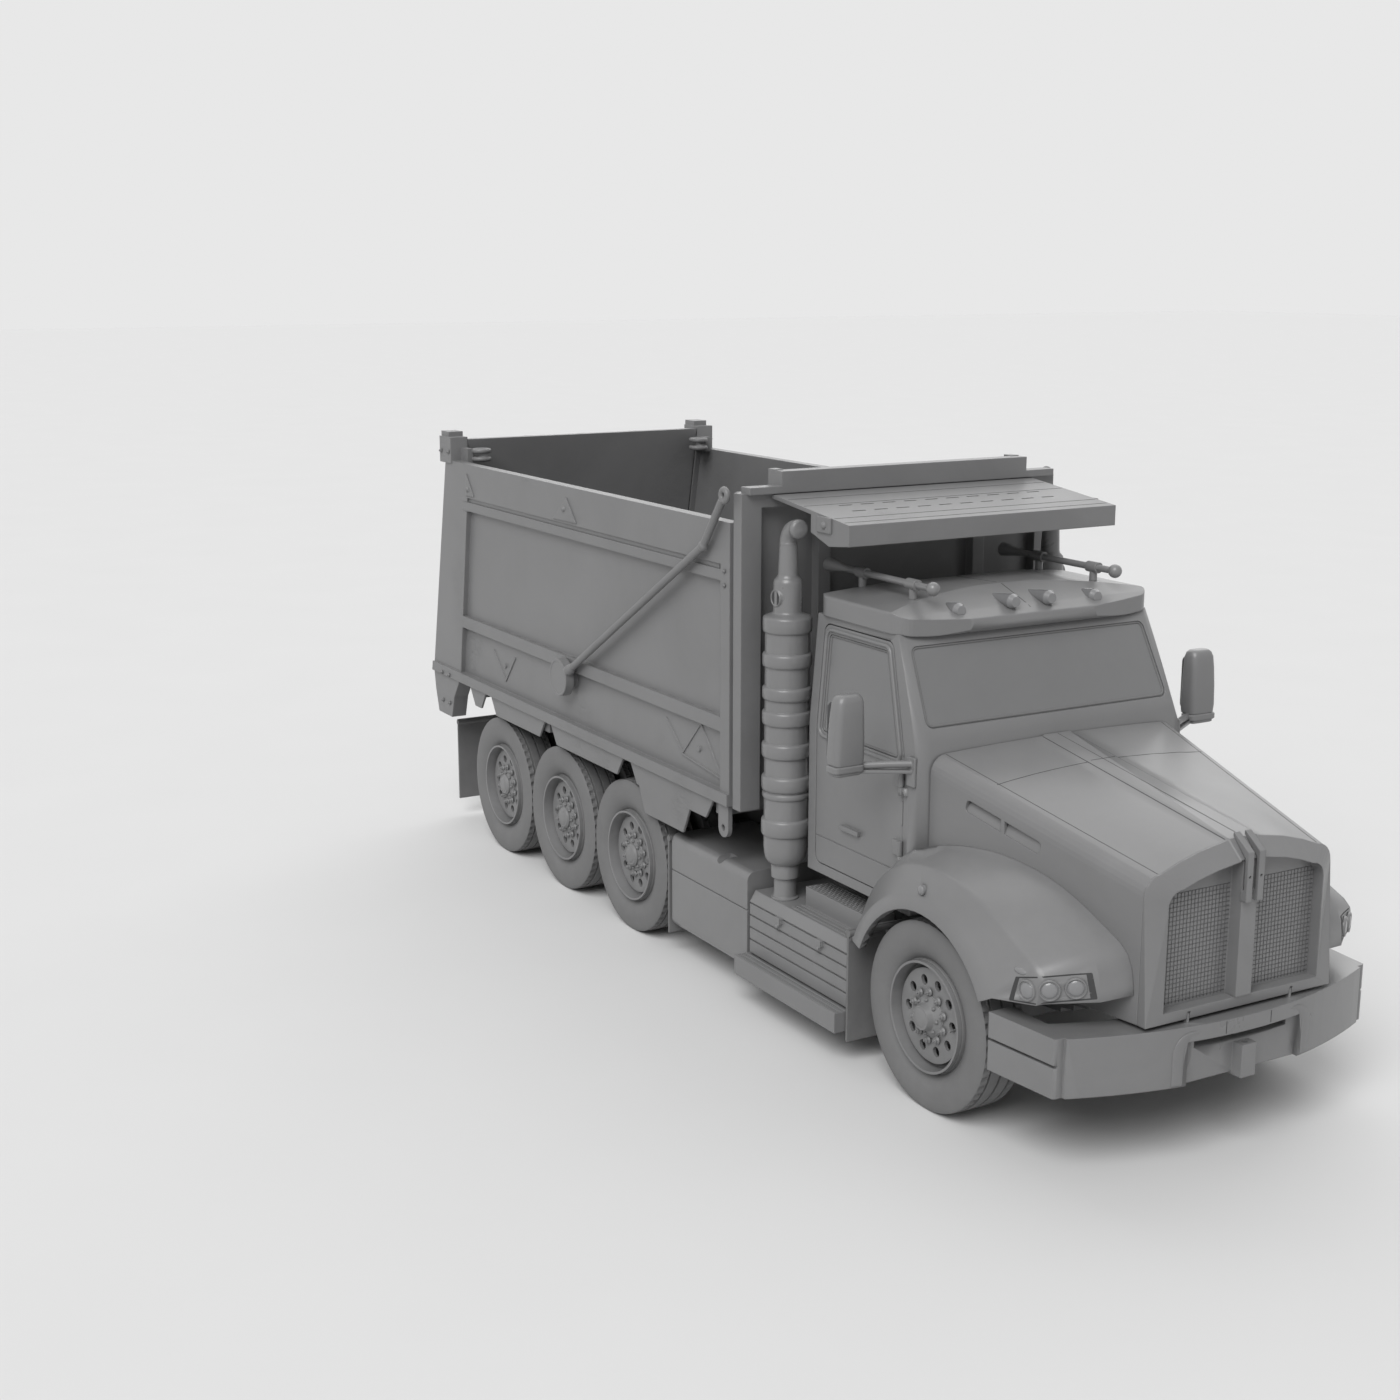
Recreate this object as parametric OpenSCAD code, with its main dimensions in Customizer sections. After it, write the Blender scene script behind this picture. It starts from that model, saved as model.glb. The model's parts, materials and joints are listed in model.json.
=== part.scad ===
// Tri-drive dump truck: conventional cab, tilting hood, steel dump body and top-hung tailgate.
// X runs forward, Y to the left, Z up. The origin is on the ground under the middle of the truck.

/* [Wheels] */
// Tyre outside radius
tyre_r = 548; // [520:1:552]
// Width of a rear tyre
tyre_w = 280; // [250:1:300]
// Width of a steered tyre
steer_w = 300; // [270:1:310]
// Radius of the rim flange
rim_r = 322; // [300:1:330]
// Front axle, forward of the middle of the truck
front_x = 2836; // [2816:1:2846]
// Middle rear axle, forward of the middle of the truck
rear_x = -1795; // [-1805:1:-1790]
// Distance between rear axles
axle_step = 1108; // [1106:1:1114]
// Half track to the steered tyre's middle
steer_y = 996; // [985:1:1005]
// Half track to the middle of a twin pair
twin_y = 860; // [850:1:864]
// Distance between the two tyres of a twin pair
twin_step = 335; // [325:1:345]

/* [Frame] */
// Top of the frame rails
rail_top = 980; // [960:1:984]
// Height of a frame rail
rail_h = 280; // [240:1:290]
// Half width over the frame rails
rail_y = 432; // [420:1:440]
// Width of a frame rail's flange
rail_flange = 80; // [60:1:90]
// Thickness of the frame rail's steel
rail_t = 12; // [8:1:16]

/* [Dump body] */
// Half width of the body over its rails
bed_y = 1215; // [1205:1:1230]
// Thickness of the body's side sheet
bed_wall = 45; // [30:1:50]
// Depth that the rails stand out from the side sheet
rail_out = 40; // [25:1:50]
// Front of the body's sides
bed_front = 805; // [780:1:815]
// Rear of the body at its floor
bed_rear = -4175; // [-4200:1:-4160]
// How far the rear leans forward over the body's height
bed_lean = 390; // [360:1:410]
// Top of the body's sides
bed_top = 3100; // [3000:1:3150]
// Top of the body's floor
floor_top = 1310; // [1300:1:1330]
// Thickness of the floor sheet
floor_t = 30; // [20:1:40]
// Front edge of the cab shield
shield_front = 1809; // [1760:1:1830]
// Half width of the cab shield
shield_y = 1005; // [960:1:1010]
// Thickness of the tailgate
gate_t = 75; // [60:1:85]

/* [Cab] */
// Back of the cab
cab_rear = 1375; // [1365:1:1400]
// Front of the cab below the windscreen
cab_front = 2505; // [2490:1:2510]
// Half width of the cab at the door sill
cab_y = 980; // [965:1:990]
// Half width of the cab at the roof
roof_y = 925; // [900:1:940]
// Underside of the cab
cab_low = 1000; // [990:1:1020]
// Where the roof panel sits on the cab
roof_z = 2600; // [2580:1:2620]
// Thickness of the cab's walls and doors
cab_wall = 48; // [40:1:56]
// Lean of the windscreen from upright
screen_tilt = 27; // [24:1:29]
// Gap round a door
door_gap = 7; // [6:1:9]

/* [Hood] */
// Rear edge of the hood
hood_rear = 2521; // [2518:1:2530]
// Crease at the front of the hood, ahead of the front axle
hood_reach = 1190; // [1174:1:1204]
// Half width of the hood at its rear
hood_rear_y = 905; // [890:1:915]
// Half width of the hood at its front
hood_front_y = 662; // [640:1:680]
// Thickness of the hood's moulding
hood_t = 25; // [20:1:30]
// Radius of the wheel arch
arch_r = 618; // [612:1:628]
// Bottom of the grille shell
shell_low = 824; // [822:1:830]

/* [Front bumper] */
// Front of the bumper at its middle, ahead of the front axle
bumper_reach = 1329; // [1314:1:1344]
// Half width of the bumper
bumper_y = 1170; // [1140:1:1190]
// Bottom of the bumper
bumper_low = 472; // [450:1:490]
// Top of the bumper
bumper_top = 800; // [780:1:804]

/* [Hidden] */
$fn = 48;

// One overrun for every cut
over = 20;
// Clearance of a pin in its bore
pin_gap = 0.5;
// Clearance of pieces that sit on one another
seat_gap = 0.3;
// Clearance of faces that slide past each other
slide_gap = 8;
// Finish colours
clay = "#6f6f6f";
dark = "#5a5a5a";
pale = "#808080";

// Frame values
frame_rear = -3955;
frame_front_ahead = 1044;
frame_front = front_x + frame_front_ahead;
cross_shares = [0.095, 0.205, 0.346, 0.56, 0.70];
cross_w = 70;
cross_h = 160;
ear_t = 44;
ear_r = 78;
tail_block = 220;
ear_gap = 9;
front_tie = 120;

// Dump hinge and hoist values
pivot_x = -3845;
pivot_z = 1085;
pivot_r = 35;
sill_y = 360;
sill_w = 70;
sill_low = 990;
bearer_low = 1180;
bearer_w = 90;
bearer_shares = [0.03, 0.13, 0.23, 0.42, 0.53, 0.64, 0.75, 0.86, 0.97];
hoist_base = 2400;
hoist_base_z = 840;
hoist_top = 1200;
hoist_top_z = 1095;
hoist_r = 80;
hoist_rod_r = 48;
hoist_eye_r = 62;
hoist_eye_w = 90;
hoist_pin_r = 30;
hoist_barrel_l = 1000;
hoist_wall_l = 120;
hoist_tail = 40;
hoist_ear = 60;
hoist_ear_t = 24;
hoist_ear_l = 170;

// Axle and wheel values
axle_z = tyre_r;
axle_tube_r = 72;
spindle_r = 45;
bowl_r = 200;
bowl_l = 240;
nose_l = 170;
nose_r = 90;
king_y = 926;
king_r = 24;
king_h = 118;
king_boss_r = 52;
king_boss_h = 62;
yoke_r = 50;
yoke_t = 36;
beam_h = 90;
beam_w = 110;
beam_drop = 60;
hub_r = 118;
hub_gap = 0.6;
rim_t = 14;
rim_lip = 26;
well_depth = 42;
disc_t = 22;
hand_r = 30;
hand_circle = 205;
hand_count = 10;
cap_r = 82;
cap_l = 70;
front_disc_in = 50;
rear_disc_in = 62;
hub_l = 150;
tyre_shares = [[0.60, 0.62], [0.66, 0.80], [0.76, 0.97], [0.86, 1.00], [0.94, 0.96], [0.985, 0.90],
  [1.0, 0.78]];
groove_share = 0.26;
groove_w = 13;
groove_d = 16;

// Spring values
spring_y = 440;
spring_w = 76;
spring_t = 26;
spring_count = 3;
spring_bow = 70;
front_spring_l = 640;
hanger_w = 90;
hanger_h = 120;

// Driveline values
shaft_r = 55;
shaft_gap = 3;
shaft_z = 640;
gearbox_l = 900;
gearbox_y = 210;
gearbox_z = [560, 930];
engine_x = [2570, 3480];
engine_y = 330;
engine_z = [720, 1520];
radiator_ahead = 814;
radiator_t = 110;
radiator_x = [front_x + radiator_ahead, front_x + radiator_ahead + radiator_t];
radiator_y = 520;
radiator_z = [780, 1470];
mount_w = 100;

// Dump body values
post_w = 135;
post_front_l = 115;
post_groove = 45;
post_rear_l = [580, 475];
post_in_l = 110;
band_h = 270;
band2_z = [2725, 2795];
mid_z = [1750, 1845];
ledge_z = 1280;
ledge_h = 80;
ledge_out = 18;
hook_z = 936;
hook_x = [-4142, -3800];
hook_y = 1090;
hook_toe = 60;
hook_neck_z = 1120;
cap_top = 3330;
cap_x = [-3880, -3650];
cap_w = 150;
cap_step = 40;
ring_r = 62;
ring_tube = 20;
ring_z = [3120, 3185];
ring_x = -3520;
ring_y = 1010;
skirt_y = 1190;
skirt_t = 16;
skirt_low = 1130;
skirt_slant = 90;
skirt_shares = [[0.155, 0.215], [0.24, 0.44], [0.465, 0.70], [0.725, 0.955]];
splash_x = [-445, 275];
splash_low = 950;
lug_x = 718;
lug_z = 1118;
lug_r = 62;
lug_bore_r = 22;
mark_t = 14;
mark_knob_r = 18;
vee_w = 14;
vee_d = 8;
vee_lines = [[[-2965, 1645], [-2745, 1442], [-2560, 1652]],
  [[-87, 1674], [134, 1487], [378, 1736], [652, 1422], [134, 1477]]];
knob_places = [[-2745, 1560], [360, 1560]];

// Front wall and shield values
wall_x = 870;
wall_front = 945;
wall_top = 3290;
wall_rib_y = 560;
wall_header = 90;
wall_inner = 60;
rib_w = 90;
rail_top_z = 3420;
rail_low_z = 3285;
rail_mid_y = 950;
rail_end_y = 1180;
rail_end_z = 3330;
rail_x = [880, 985];
cap_post_w = 60;
rail_cap = 5;
shield_rear_z = 3283;
shield_front_z = 3183;
shield_t = 25;
shield_lip = 126;
cheek_rear = 1400;
cheek_low = 3035;
cheek_toe = 1600;
slot_w = 16;
slot_l = 95;
slot_step = 160;
slot_count = 10;
slot_shares = [0.45, 0.62];

// Tailgate values
gate_y = 1068;
gate_top = 3270;
gate_low = 1300;
gate_gap = 25;
gate_pin_z = 3212;
gate_pin_r = 22;
gate_rib_w = 70;
gate_rib_t = 20;
gate_rib_shares = [-0.92, -0.46, 0, 0.46, 0.92];
gate_bar_h = 90;
gate_bars = [1300, 1930, 2560, 3160];
gate_pin_l = 60;

// Tarp arm values
arm_x = -1545;
arm_z = 1700;
arm_y = 1262;
arm_r = 26;
arm_elbow_r = 34;
arm_hub_r = 138;
arm_hub_t = 66;
arm_hub_y = 1227;
arm_pin_r = 40;
arm_pin_l = 40;
arm_boss_r = 95;
arm_elbow = [555, 2930];
arm_eye = [816, 3274];
arm_eye_r = 36;
arm_eye_tube = 19;

// Cab values
screen_foot = 2027;
door_x = [1455, 2372];
// Room for the steered tyre
well_r = 592;
well_y = 820;
door_z = [1062, 2555];
door_lean = 205;
door_belt = 1930;
door_corner = 60;
door_cut = [252, 213];
pane_in = 60;
pane_low = 1900;
pane_z = 2505;
pane_a = 10;
pane_b = 18;
screen_y = 868;
screen_z = [2095, 2530];
screen_corner = 45;
rear_pane_y = 560;
rear_pane_z = [1850, 2420];
cab_corner = 90;
roof_front = 2312;
roof_bow = 85;
roof_corner = 120;
roof_mid_z = 2792;
roof_edge_z = 2722;
roof_crest_x = 1950;
roof_brow = [2205, 2704];
roof_lip = 22;
roof_t = 40;
handle_x = [1760, 1950];
handle_z = [1345, 1375];
handle_out = 26;
crease_z = 1240;
hinge_r = 16;
hinge_l = 90;
hinge_z = [1340, 1750];
cab_leg_x = [1480, 2380];
cab_leg_w = 110;
seat_x = [1560, 2020];
seat_y = 440;
seat_w = 480;
seat_z = [1260, 1420];
seat_back_t = 130;
seat_back_top = 2180;
seat_back_lean = 90;
seat_foot_w = 260;
dash_x = [2170, 2440];
dash_z = [1450, 1900];
wheel_x = 2040;
wheel_z = 1830;
wheel_r = 225;
wheel_tube = 16;
wheel_tilt = 35;
column_r = 28;

// Roof lamp and horn values
lamp_r = 46;
lamp_l = 190;
lamp_nose = 30;
roof_lamp_x = [2215, 2242];
roof_lamp_y = [509, 135];
roof_lamp_z = [2752, 2778];
horn_y = 680;
horn_x = [1110, 2195];
horn_z = 2842;
horn_tube_r = 21;
horn_bell_r = 44;
horn_bell_l = 190;
horn_leg = 24;
horn_leg_shares = [0.34, 0.82];

// Mirror values
mirror_x = [2222, 2352];
mirror_y = [1215, 1438];
mirror_z = [1905, 2316];
mirror_corner = 40;
mirror_base_z = 1848;
mirror_pad = 18;
mirror_root = [2455, cab_y + mirror_pad, 1905];
mirror_arm_r = 22;
mirror_brace_z = 1860;

// Exhaust values
stack_x = 1175;
stack_y = 1020;
stack_foot = 752;
stack_r = 140;
stack_band = 153;
stack_low = 985;
stack_top = 2560;
stack_pipe_r = 62;
stack_neck_r = 88;
stack_collar = [2580, 2790];
stack_elbow_r = 95;
stack_elbow_z = 3010;
stack_tip_r = 52;
stack_tip_l = 45;
band_shares = [0.03, 0.20, 0.325, 0.44, 0.60, 0.74, 0.87, 0.985];
band_w = 46;

// Tank and step values
tank_x = [-72, 930];
tank_y = [470, 1150];
tank_z = [205, 868];
tank_corner = 60;
tank_notch_x = 560;
tank_notch_r = 42;
tank_seam = 8;
tank_seam_z = 610;
strap_w = 70;
strap_t = 8;
strap_shares = [0.2, 0.8];
box_rear = 965;
box_behind = 761;
box_x = [box_rear, front_x - box_behind];
box_y = [470, 1150];
box_z = [345, 752];
box_groove = 12;
box_groove_shares = [0.2, 0.4, 0.6, 0.8];
box_slope = [40, 66];
sill_rear = 1365;
sill_behind = 776;
sill_x = [sill_rear, front_x - sill_behind];
sill_step_y = [800, 985];
sill_top = 872;
step_rear = 930;
step_behind = 741;
step_x = [step_rear, front_x - step_behind];
step_y = [900, 1245];
step_z = [205, 330];
step_leg = 60;
latch_w = 60;
latch_h = 40;
latch_t = 16;
latch_shares = [0.3, 0.72];

// Flap and tail lamp values
flap_t = 18;
flap_z = [150, 850];
front_flap_behind = 726;
front_flap_x = front_x - front_flap_behind;
front_flap_y = [760, 1175];
mid_flap_x = -112;
mid_flap_y = [600, 1160];
rear_flap_x = -4050;
rear_flap_y = [560, 1068];
flap_bar_r = 22;
flap_bar_drop = 26;
tail_bar_x = [-3990, -3955];
tail_bar_z = [865, 965];
tail_bar_y = 520;
tail_lamp_r = 48;
tail_lamp_t = 18;
tail_lamp_y = [330, 450];
drawbar_l = 130;
drawbar_w = 140;
drawbar_bore_r = 26;
drawbar_z = [735, 785];

// Hood values
hood_front = front_x + hood_reach;
hood_edge_z = [1958, 1622];
hood_mid_z = [1976, 1738];
shoulder_r = 105;
strip_y = 105;
strip_h = 8;
strip_step = 8;
crown_shares = [0.78, 0.52, 0.28];
hood_station_shares = [0, 0.10, 0.21, 0.35, 0.48, 0.58, 0.66, 0.82, 1];
vent_x = [2790, 3345];
vent_z = 1668;
vent_h = 70;
vent_drop = 13;
vent_bar = 26;
fender_y = 1166;
lip_y = 1192;
lip_h = 78;
fender_t = 26;
crease_y = 1128;
crease_soft = 34;
shelf_y = 868;
fender_root = 30;
fender_ease = 60;
fender_clear = 6;
fender_in = cab_y + 2 * hinge_r + fender_clear;
// Columns: lip angle; crease angle and radius over arch radius; shelf angle and radius over it
fender_shares = [
  [158, 157, 1.20, 128, 1.25],
  [145, 144, 1.245, 125.5, 1.31],
  [125, 125, 1.335, 120, 1.40],
  [110, 110, 1.372, 110, 1.448],
  [105, 105, 1.38, 105, 1.46],
  [88, 88, 1.385, 88, 1.50],
  [70, 70, 1.42, 70, 1.60],
  [54, 54, 1.50, 54, 1.74],
  [40, 40, 1.62, 40, 1.89],
  [30, 30, 1.775, 30, 2.03],
  [27.7, 22.4, 1.65, 20.4, 1.96]];
fender_fine = 3;
hinge_pin_ahead = 1236;
hinge_pin_x = front_x + hinge_pin_ahead;
hinge_pin_z = 845;
hinge_pin_r = 9;
hinge_ear_y = 360;
hinge_ear_t = 14;
hinge_ear_r = 16;
shell_ahead = 1260;
shell_x = front_x + shell_ahead;
shell_bow = 22;
open_y_share = 0.83;
open_z_share = 0.825;
open_low = 886;
grille_t = 25;
grille_grow = 18;
grille_bar_y = 55;
grille_bar_ahead = 1270;
grille_bar_x = front_x + grille_bar_ahead;
strap_y = 40;
strap_half = 20;
strap_ahead = 1306;
strap_x = front_x + strap_ahead;
strap_low = 1420;
strap_foot = 60;
strap_thick = 22;
strap_lift = 9;
strap_hole_share = 0.6;
strap_hole_r = 8;
lens_r = 50;
lens_t = 30;
// Columns: forward of the front axle, out from the middle, height
lens_places = [[880, 1136, 1003], [984, 1078, 1026], [1056, 965, 1041]];
// How far each lens looks out to the side
lens_yaws = [80, 36, 36];
lens_far = 70;
side_lamp = [-16, 1152, 746];
side_lamp_r = 58;
side_lamp_out = 22;

// Bumper values
bumper_front = front_x + bumper_reach;
bumper_corner_ahead = 1109;
bumper_corner_x = front_x + bumper_corner_ahead;
bumper_corner_y = 1075;
bumper_deep = 210;
bumper_end_ahead = 614;
bumper_end_x = front_x + bumper_end_ahead;
bumper_end_in = 1010;
bumper_groove = 16;
bumper_groove_z = 640;
bumper_side_in = 26;
bumper_recess_y = 400;
bumper_recess_d = 60;
bumper_slot_y = 330;
bumper_slot_z = [660, 715];
tow_y = 52;
tow_l = 125;
tow_out = 10;
tow_x = [bumper_front - tow_l, bumper_front + tow_out];
tow_z = [455, 640];
tow_bore_r = 21;
tow_wall = 23;

// Working functions
function mix(a, b, t) = a + (b - a) * t;
function blend(a, b, c, d, t) =
  (2 * b + (c - a) * t + (2 * a - 5 * b + 4 * c - d) * t * t + (3 * b - a - 3 * c + d) * t * t * t) / 2;
function fine_rows(rows, n) = concat(
  [for (i = [0:len(rows) - 2]) for (k = [0:n - 1])
    blend(rows[max(i - 1, 0)], rows[i], rows[i + 1], rows[min(i + 2, len(rows) - 1)], k / n)],
  [rows[len(rows) - 1]]);
function reversed(list) = [for (i = [len(list) - 1:-1:0]) list[i]];
function side(s) = s == "left" ? 1 : -1;

// A solid skinned over closed rings of like points, each ring an outer and an inner run
module skin(rings) {
  n = len(rings[0]);
  m = len(rings);
  points = [for (r = rings) each r];
  walls = [for (j = [0:m - 2]) for (i = [0:n - 1])
    let (a = j * n + i, b = j * n + (i + 1) % n) each [[a, b, b + n], [a, b + n, a + n]]];
  near_end = [for (i = [0:n / 2 - 2])
    let (a = i, b = i + 1, c = n - 2 - i, d = n - 1 - i) each [[a, d, c], [a, c, b]]];
  last = (m - 1) * n;
  far_end = [for (i = [0:n / 2 - 2])
    let (a = last + i, b = a + 1, c = last + n - 2 - i, d = c + 1) each [[a, b, c], [a, c, d]]];
  polyhedron(points, concat(walls, near_end, far_end));
}

// A closed frame skinned over loops that follow one another round
module skin_loop(loops) {
  n = len(loops[0]);
  m = len(loops);
  points = [for (r = loops) each r];
  walls = [for (j = [0:m - 1]) for (i = [0:n - 1])
    let (a = j * n + i, b = j * n + (i + 1) % n, e = ((j + 1) % m) * n)
    each [[a, b, e + (i + 1) % n], [a, e + (i + 1) % n, e + i]]];
  polyhedron(points, walls);
}

module block(x, y, z) {
  translate([x[0], y[0], z[0]])
    cube([x[1] - x[0], y[1] - y[0], z[1] - z[0]]);
}

// Outlines in X and Z, drawn out along Y
module side_slab(y0, y1) {
  translate([0, y1, 0])
    rotate([90, 0, 0])
      linear_extrude(y1 - y0)
        children();
}

// Outlines in Y and Z, drawn out along X
module front_slab(x0, x1) {
  translate([x0, 0, 0])
    rotate([90, 0, 90])
      linear_extrude(x1 - x0)
        children();
}

module plan_slab(z0, z1) {
  translate([0, 0, z0])
    linear_extrude(z1 - z0)
      children();
}

module pair() {
  children();
  mirror([0, 1, 0])
    children();
}

module on_side(s) {
  if (s == "left")
    children();
  else
    mirror([0, 1, 0])
      children();
}

module along_y(r, y0, y1) {
  translate([0, y1, 0])
    rotate([90, 0, 0])
      cylinder(r = r, h = y1 - y0);
}

module bar(a, b, r) {
  d = b - a;
  translate(a)
    rotate([0, atan2(norm([d[0], d[1]]), d[2]), atan2(d[1], d[0])])
      cylinder(r = r, h = norm(d));
}

module soft(r) {
  offset(r = r, $fn = 32)
    offset(delta = -r)
      children();
}

module rect(a, b) {
  translate([a[0], b[0]])
    square([a[1] - a[0], b[1] - b[0]]);
}

// Chassis
function axle_xs() = [for (i = [1:-1:-1]) rear_x + i * axle_step];
rail_in = rail_y - rail_flange;
rail_low = rail_top - rail_h;

module rail() {
  difference() {
    block([frame_rear, frame_front], [rail_in, rail_y], [rail_low, rail_top]);
    block([frame_rear - over, frame_front + over], [rail_in - over, rail_y - rail_t],
      [rail_low + rail_t, rail_top - rail_t]);
  }
}

module frame() {
  base_x = pivot_x + hoist_base;
  color(dark)
    union() {
      pair()
        rail();
      for (t = cross_shares)
        let (x = mix(frame_rear, frame_front, t))
          block([x, x + cross_w], [-rail_y + rail_t, rail_y - rail_t],
            [rail_low + rail_t, rail_low + cross_h]);
      block([frame_front - front_tie, frame_front], [-rail_y, rail_y], [rail_low, rail_low + cross_h]);
      block([frame_rear, frame_rear + tail_block], [-sill_y - sill_w - ear_gap - ear_t,
        sill_y + sill_w + ear_gap + ear_t], [rail_low, rail_top]);
      pair()
        for (y = [sill_y - ear_gap - ear_t, sill_y + sill_w + ear_gap])
          side_slab(y, y + ear_t)
            union() {
              translate([pivot_x, pivot_z])
                circle(r = ear_r);
              translate([pivot_x - ear_r, rail_top - rail_t])
                square([2 * ear_r, pivot_z - rail_top + rail_t]);
            }
      translate([pivot_x, 0, pivot_z])
        along_y(pivot_r, -sill_y - sill_w - ear_gap - ear_t, sill_y + sill_w + ear_gap + ear_t);
      translate([base_x, 0, hoist_base_z])
        along_y(pivot_r, -rail_y + rail_t, rail_y - rail_t);
      difference() {
        block([frame_rear - drawbar_l, frame_rear], [-drawbar_w / 2, drawbar_w / 2], drawbar_z);
        translate([frame_rear - drawbar_l / 2, 0, drawbar_z[0] - over])
          cylinder(r = drawbar_bore_r, h = drawbar_z[1] - drawbar_z[0] + 2 * over);
      }
    }
}

module front_axle() {
  color(dark)
    union() {
      block([front_x - beam_w / 2, front_x + beam_w / 2], [-king_y + king_boss_r / 2,
        king_y - king_boss_r / 2],
        [axle_z - king_boss_h, axle_z - king_boss_h + beam_h]);
      block([front_x - beam_w / 2, front_x + beam_w / 2], [-spring_y - spring_w, spring_y + spring_w],
        [axle_z - king_boss_h - beam_drop, axle_z - king_boss_h]);
      pair()
        translate([front_x, king_y, axle_z]) {
          translate([0, 0, -king_boss_h])
            cylinder(r = king_boss_r, h = 2 * king_boss_h);
          translate([0, 0, -king_h])
            cylinder(r = king_r, h = 2 * king_h);
        }
    }
}

function steer_in() = steer_y + steer_w / 2 - front_disc_in - disc_t;

module knuckle(s) {
  color(dark)
    on_side(s)
      translate([front_x, 0, axle_z])
        union() {
          difference() {
            union() {
              for (z = [king_boss_h + slide_gap, -king_boss_h - slide_gap - yoke_t])
                translate([0, 0, z]) {
                  translate([0, king_y, 0])
                    cylinder(r = yoke_r, h = yoke_t);
                  translate([-yoke_r, king_y, 0])
                    cube([2 * yoke_r, king_boss_r + slide_gap + yoke_t, yoke_t]);
                }
              translate([-yoke_r, king_y + king_boss_r + slide_gap, -king_boss_h - slide_gap - yoke_t])
                cube([2 * yoke_r, yoke_t, 2 * (king_boss_h + slide_gap + yoke_t)]);
            }
            translate([0, king_y, -king_h - over])
              cylinder(r = king_r + pin_gap, h = 2 * king_h + 2 * over);
          }
          along_y(spindle_r, king_y + king_boss_r + slide_gap, steer_in() + disc_t);
        }
}

module rear_axles() {
  color(dark)
    for (x = axle_xs())
      translate([x, 0, axle_z])
        union() {
          along_y(axle_tube_r, -twin_y + twin_step / 2, twin_y - twin_step / 2);
          along_y(spindle_r, -twin_y - disc_t, twin_y + disc_t);
          along_y(bowl_r, -bowl_l / 2, bowl_l / 2);
          rotate([0, 90, 0])
            cylinder(r1 = bowl_r - axle_tube_r / 2, r2 = nose_r, h = bowl_r + nose_l);
        }
}

// A leaf pack bowed like a shallow arc, hung at both ends
module leaf_pack(half, bow, seat) {
  arc_r = (half * half + bow * bow) / (2 * bow);
  for (i = [0:spring_count - 1])
    let (short = half * (1 - i / spring_count / 2))
      intersection() {
        translate([0, seat + arc_r])
          difference() {
            circle(r = arc_r + (i + 1) * spring_t, $fn = 96);
            circle(r = arc_r + i * spring_t, $fn = 96);
          }
        translate([-short, seat - spring_count * spring_t - over])
          square([2 * short, bow + spring_count * spring_t + 2 * over]);
      }
}

module spring_side(x, half, bow, seat) {
  translate([x, 0, 0])
    pair() {
      side_slab(spring_y, spring_y + spring_w)
        leaf_pack(half, bow, seat);
      for (e = [-half, half - hanger_w])
        block([e, e + hanger_w], [rail_y, spring_y + spring_w], [seat + bow - spring_t,
          rail_low + hanger_h]);
    }
}

module suspension() {
  color(dark) {
    spring_side(front_x, front_spring_l, spring_bow,
      axle_z - king_boss_h + beam_h + spring_count * spring_t);
    for (x = axle_xs())
      spring_side(x, axle_step / 2 - hanger_w / 2 - slide_gap, spring_bow / 2,
        axle_z + axle_tube_r + spring_count * spring_t + seat_gap);
  }
}

module driveline() {
  first = rear_x + axle_step;
  color(dark)
    union() {
      block([engine_x[0] - gearbox_l, engine_x[0]], [-gearbox_y, gearbox_y], gearbox_z);
      bar([first + bowl_r + nose_l + shaft_gap, 0, axle_z], [engine_x[0] - gearbox_l, 0, shaft_z],
        shaft_r);
      for (i = [0:1])
        let (x = rear_x - i * axle_step)
          bar([x + bowl_r + nose_l, 0, axle_z], [x + axle_step - bowl_r, 0, axle_z], shaft_r);
      pair()
        block([engine_x[0] - gearbox_l / 2, engine_x[0] - gearbox_l / 2 + mount_w],
          [gearbox_y, rail_in], [rail_low, rail_low + mount_w]);
    }
}

module engine() {
  color(dark)
    union() {
      block(engine_x, [-engine_y, engine_y], engine_z);
      pair()
        for (x = [engine_x[0] + mount_w, engine_x[1] - 2 * mount_w])
          block([x, x + mount_w], [engine_y, rail_in], [rail_low + mount_w, rail_top]);
    }
}

module radiator() {
  color(dark)
    union() {
      block(radiator_x, [-radiator_y, radiator_y], [rail_top, radiator_z[1]]);
      block(radiator_x, [-rail_in, rail_in], [radiator_z[0], rail_top]);
      block([engine_x[1], radiator_x[0]], [-nose_r, nose_r], [rail_top + mount_w, rail_top + 3 * mount_w]);
      pair()
        block(radiator_x, [rail_in, rail_y], [rail_top, rail_top + mount_w]);
    }
}

// Wheels
module tyre_ring(w) {
  half = w / 2;
  outer = [for (p = tyre_shares) [p[0] * tyre_r, p[1] * half]];
  inner = [[rim_r, half - rim_lip]];
  right = concat(inner, outer);
  groove_y = groove_share * w;
  difference() {
    rotate_extrude($fn = 96)
      polygon(concat(right, reversed([for (p = right) [p[0], -p[1]]])));
    for (y = [-groove_y, 0, groove_y])
      translate([0, 0, y - groove_w / 2])
        difference() {
          cylinder(r = tyre_r + over, h = groove_w, $fn = 96);
          translate([0, 0, -over])
            cylinder(r = tyre_r - groove_d, h = groove_w + 2 * over, $fn = 96);
        }
  }
}

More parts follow.
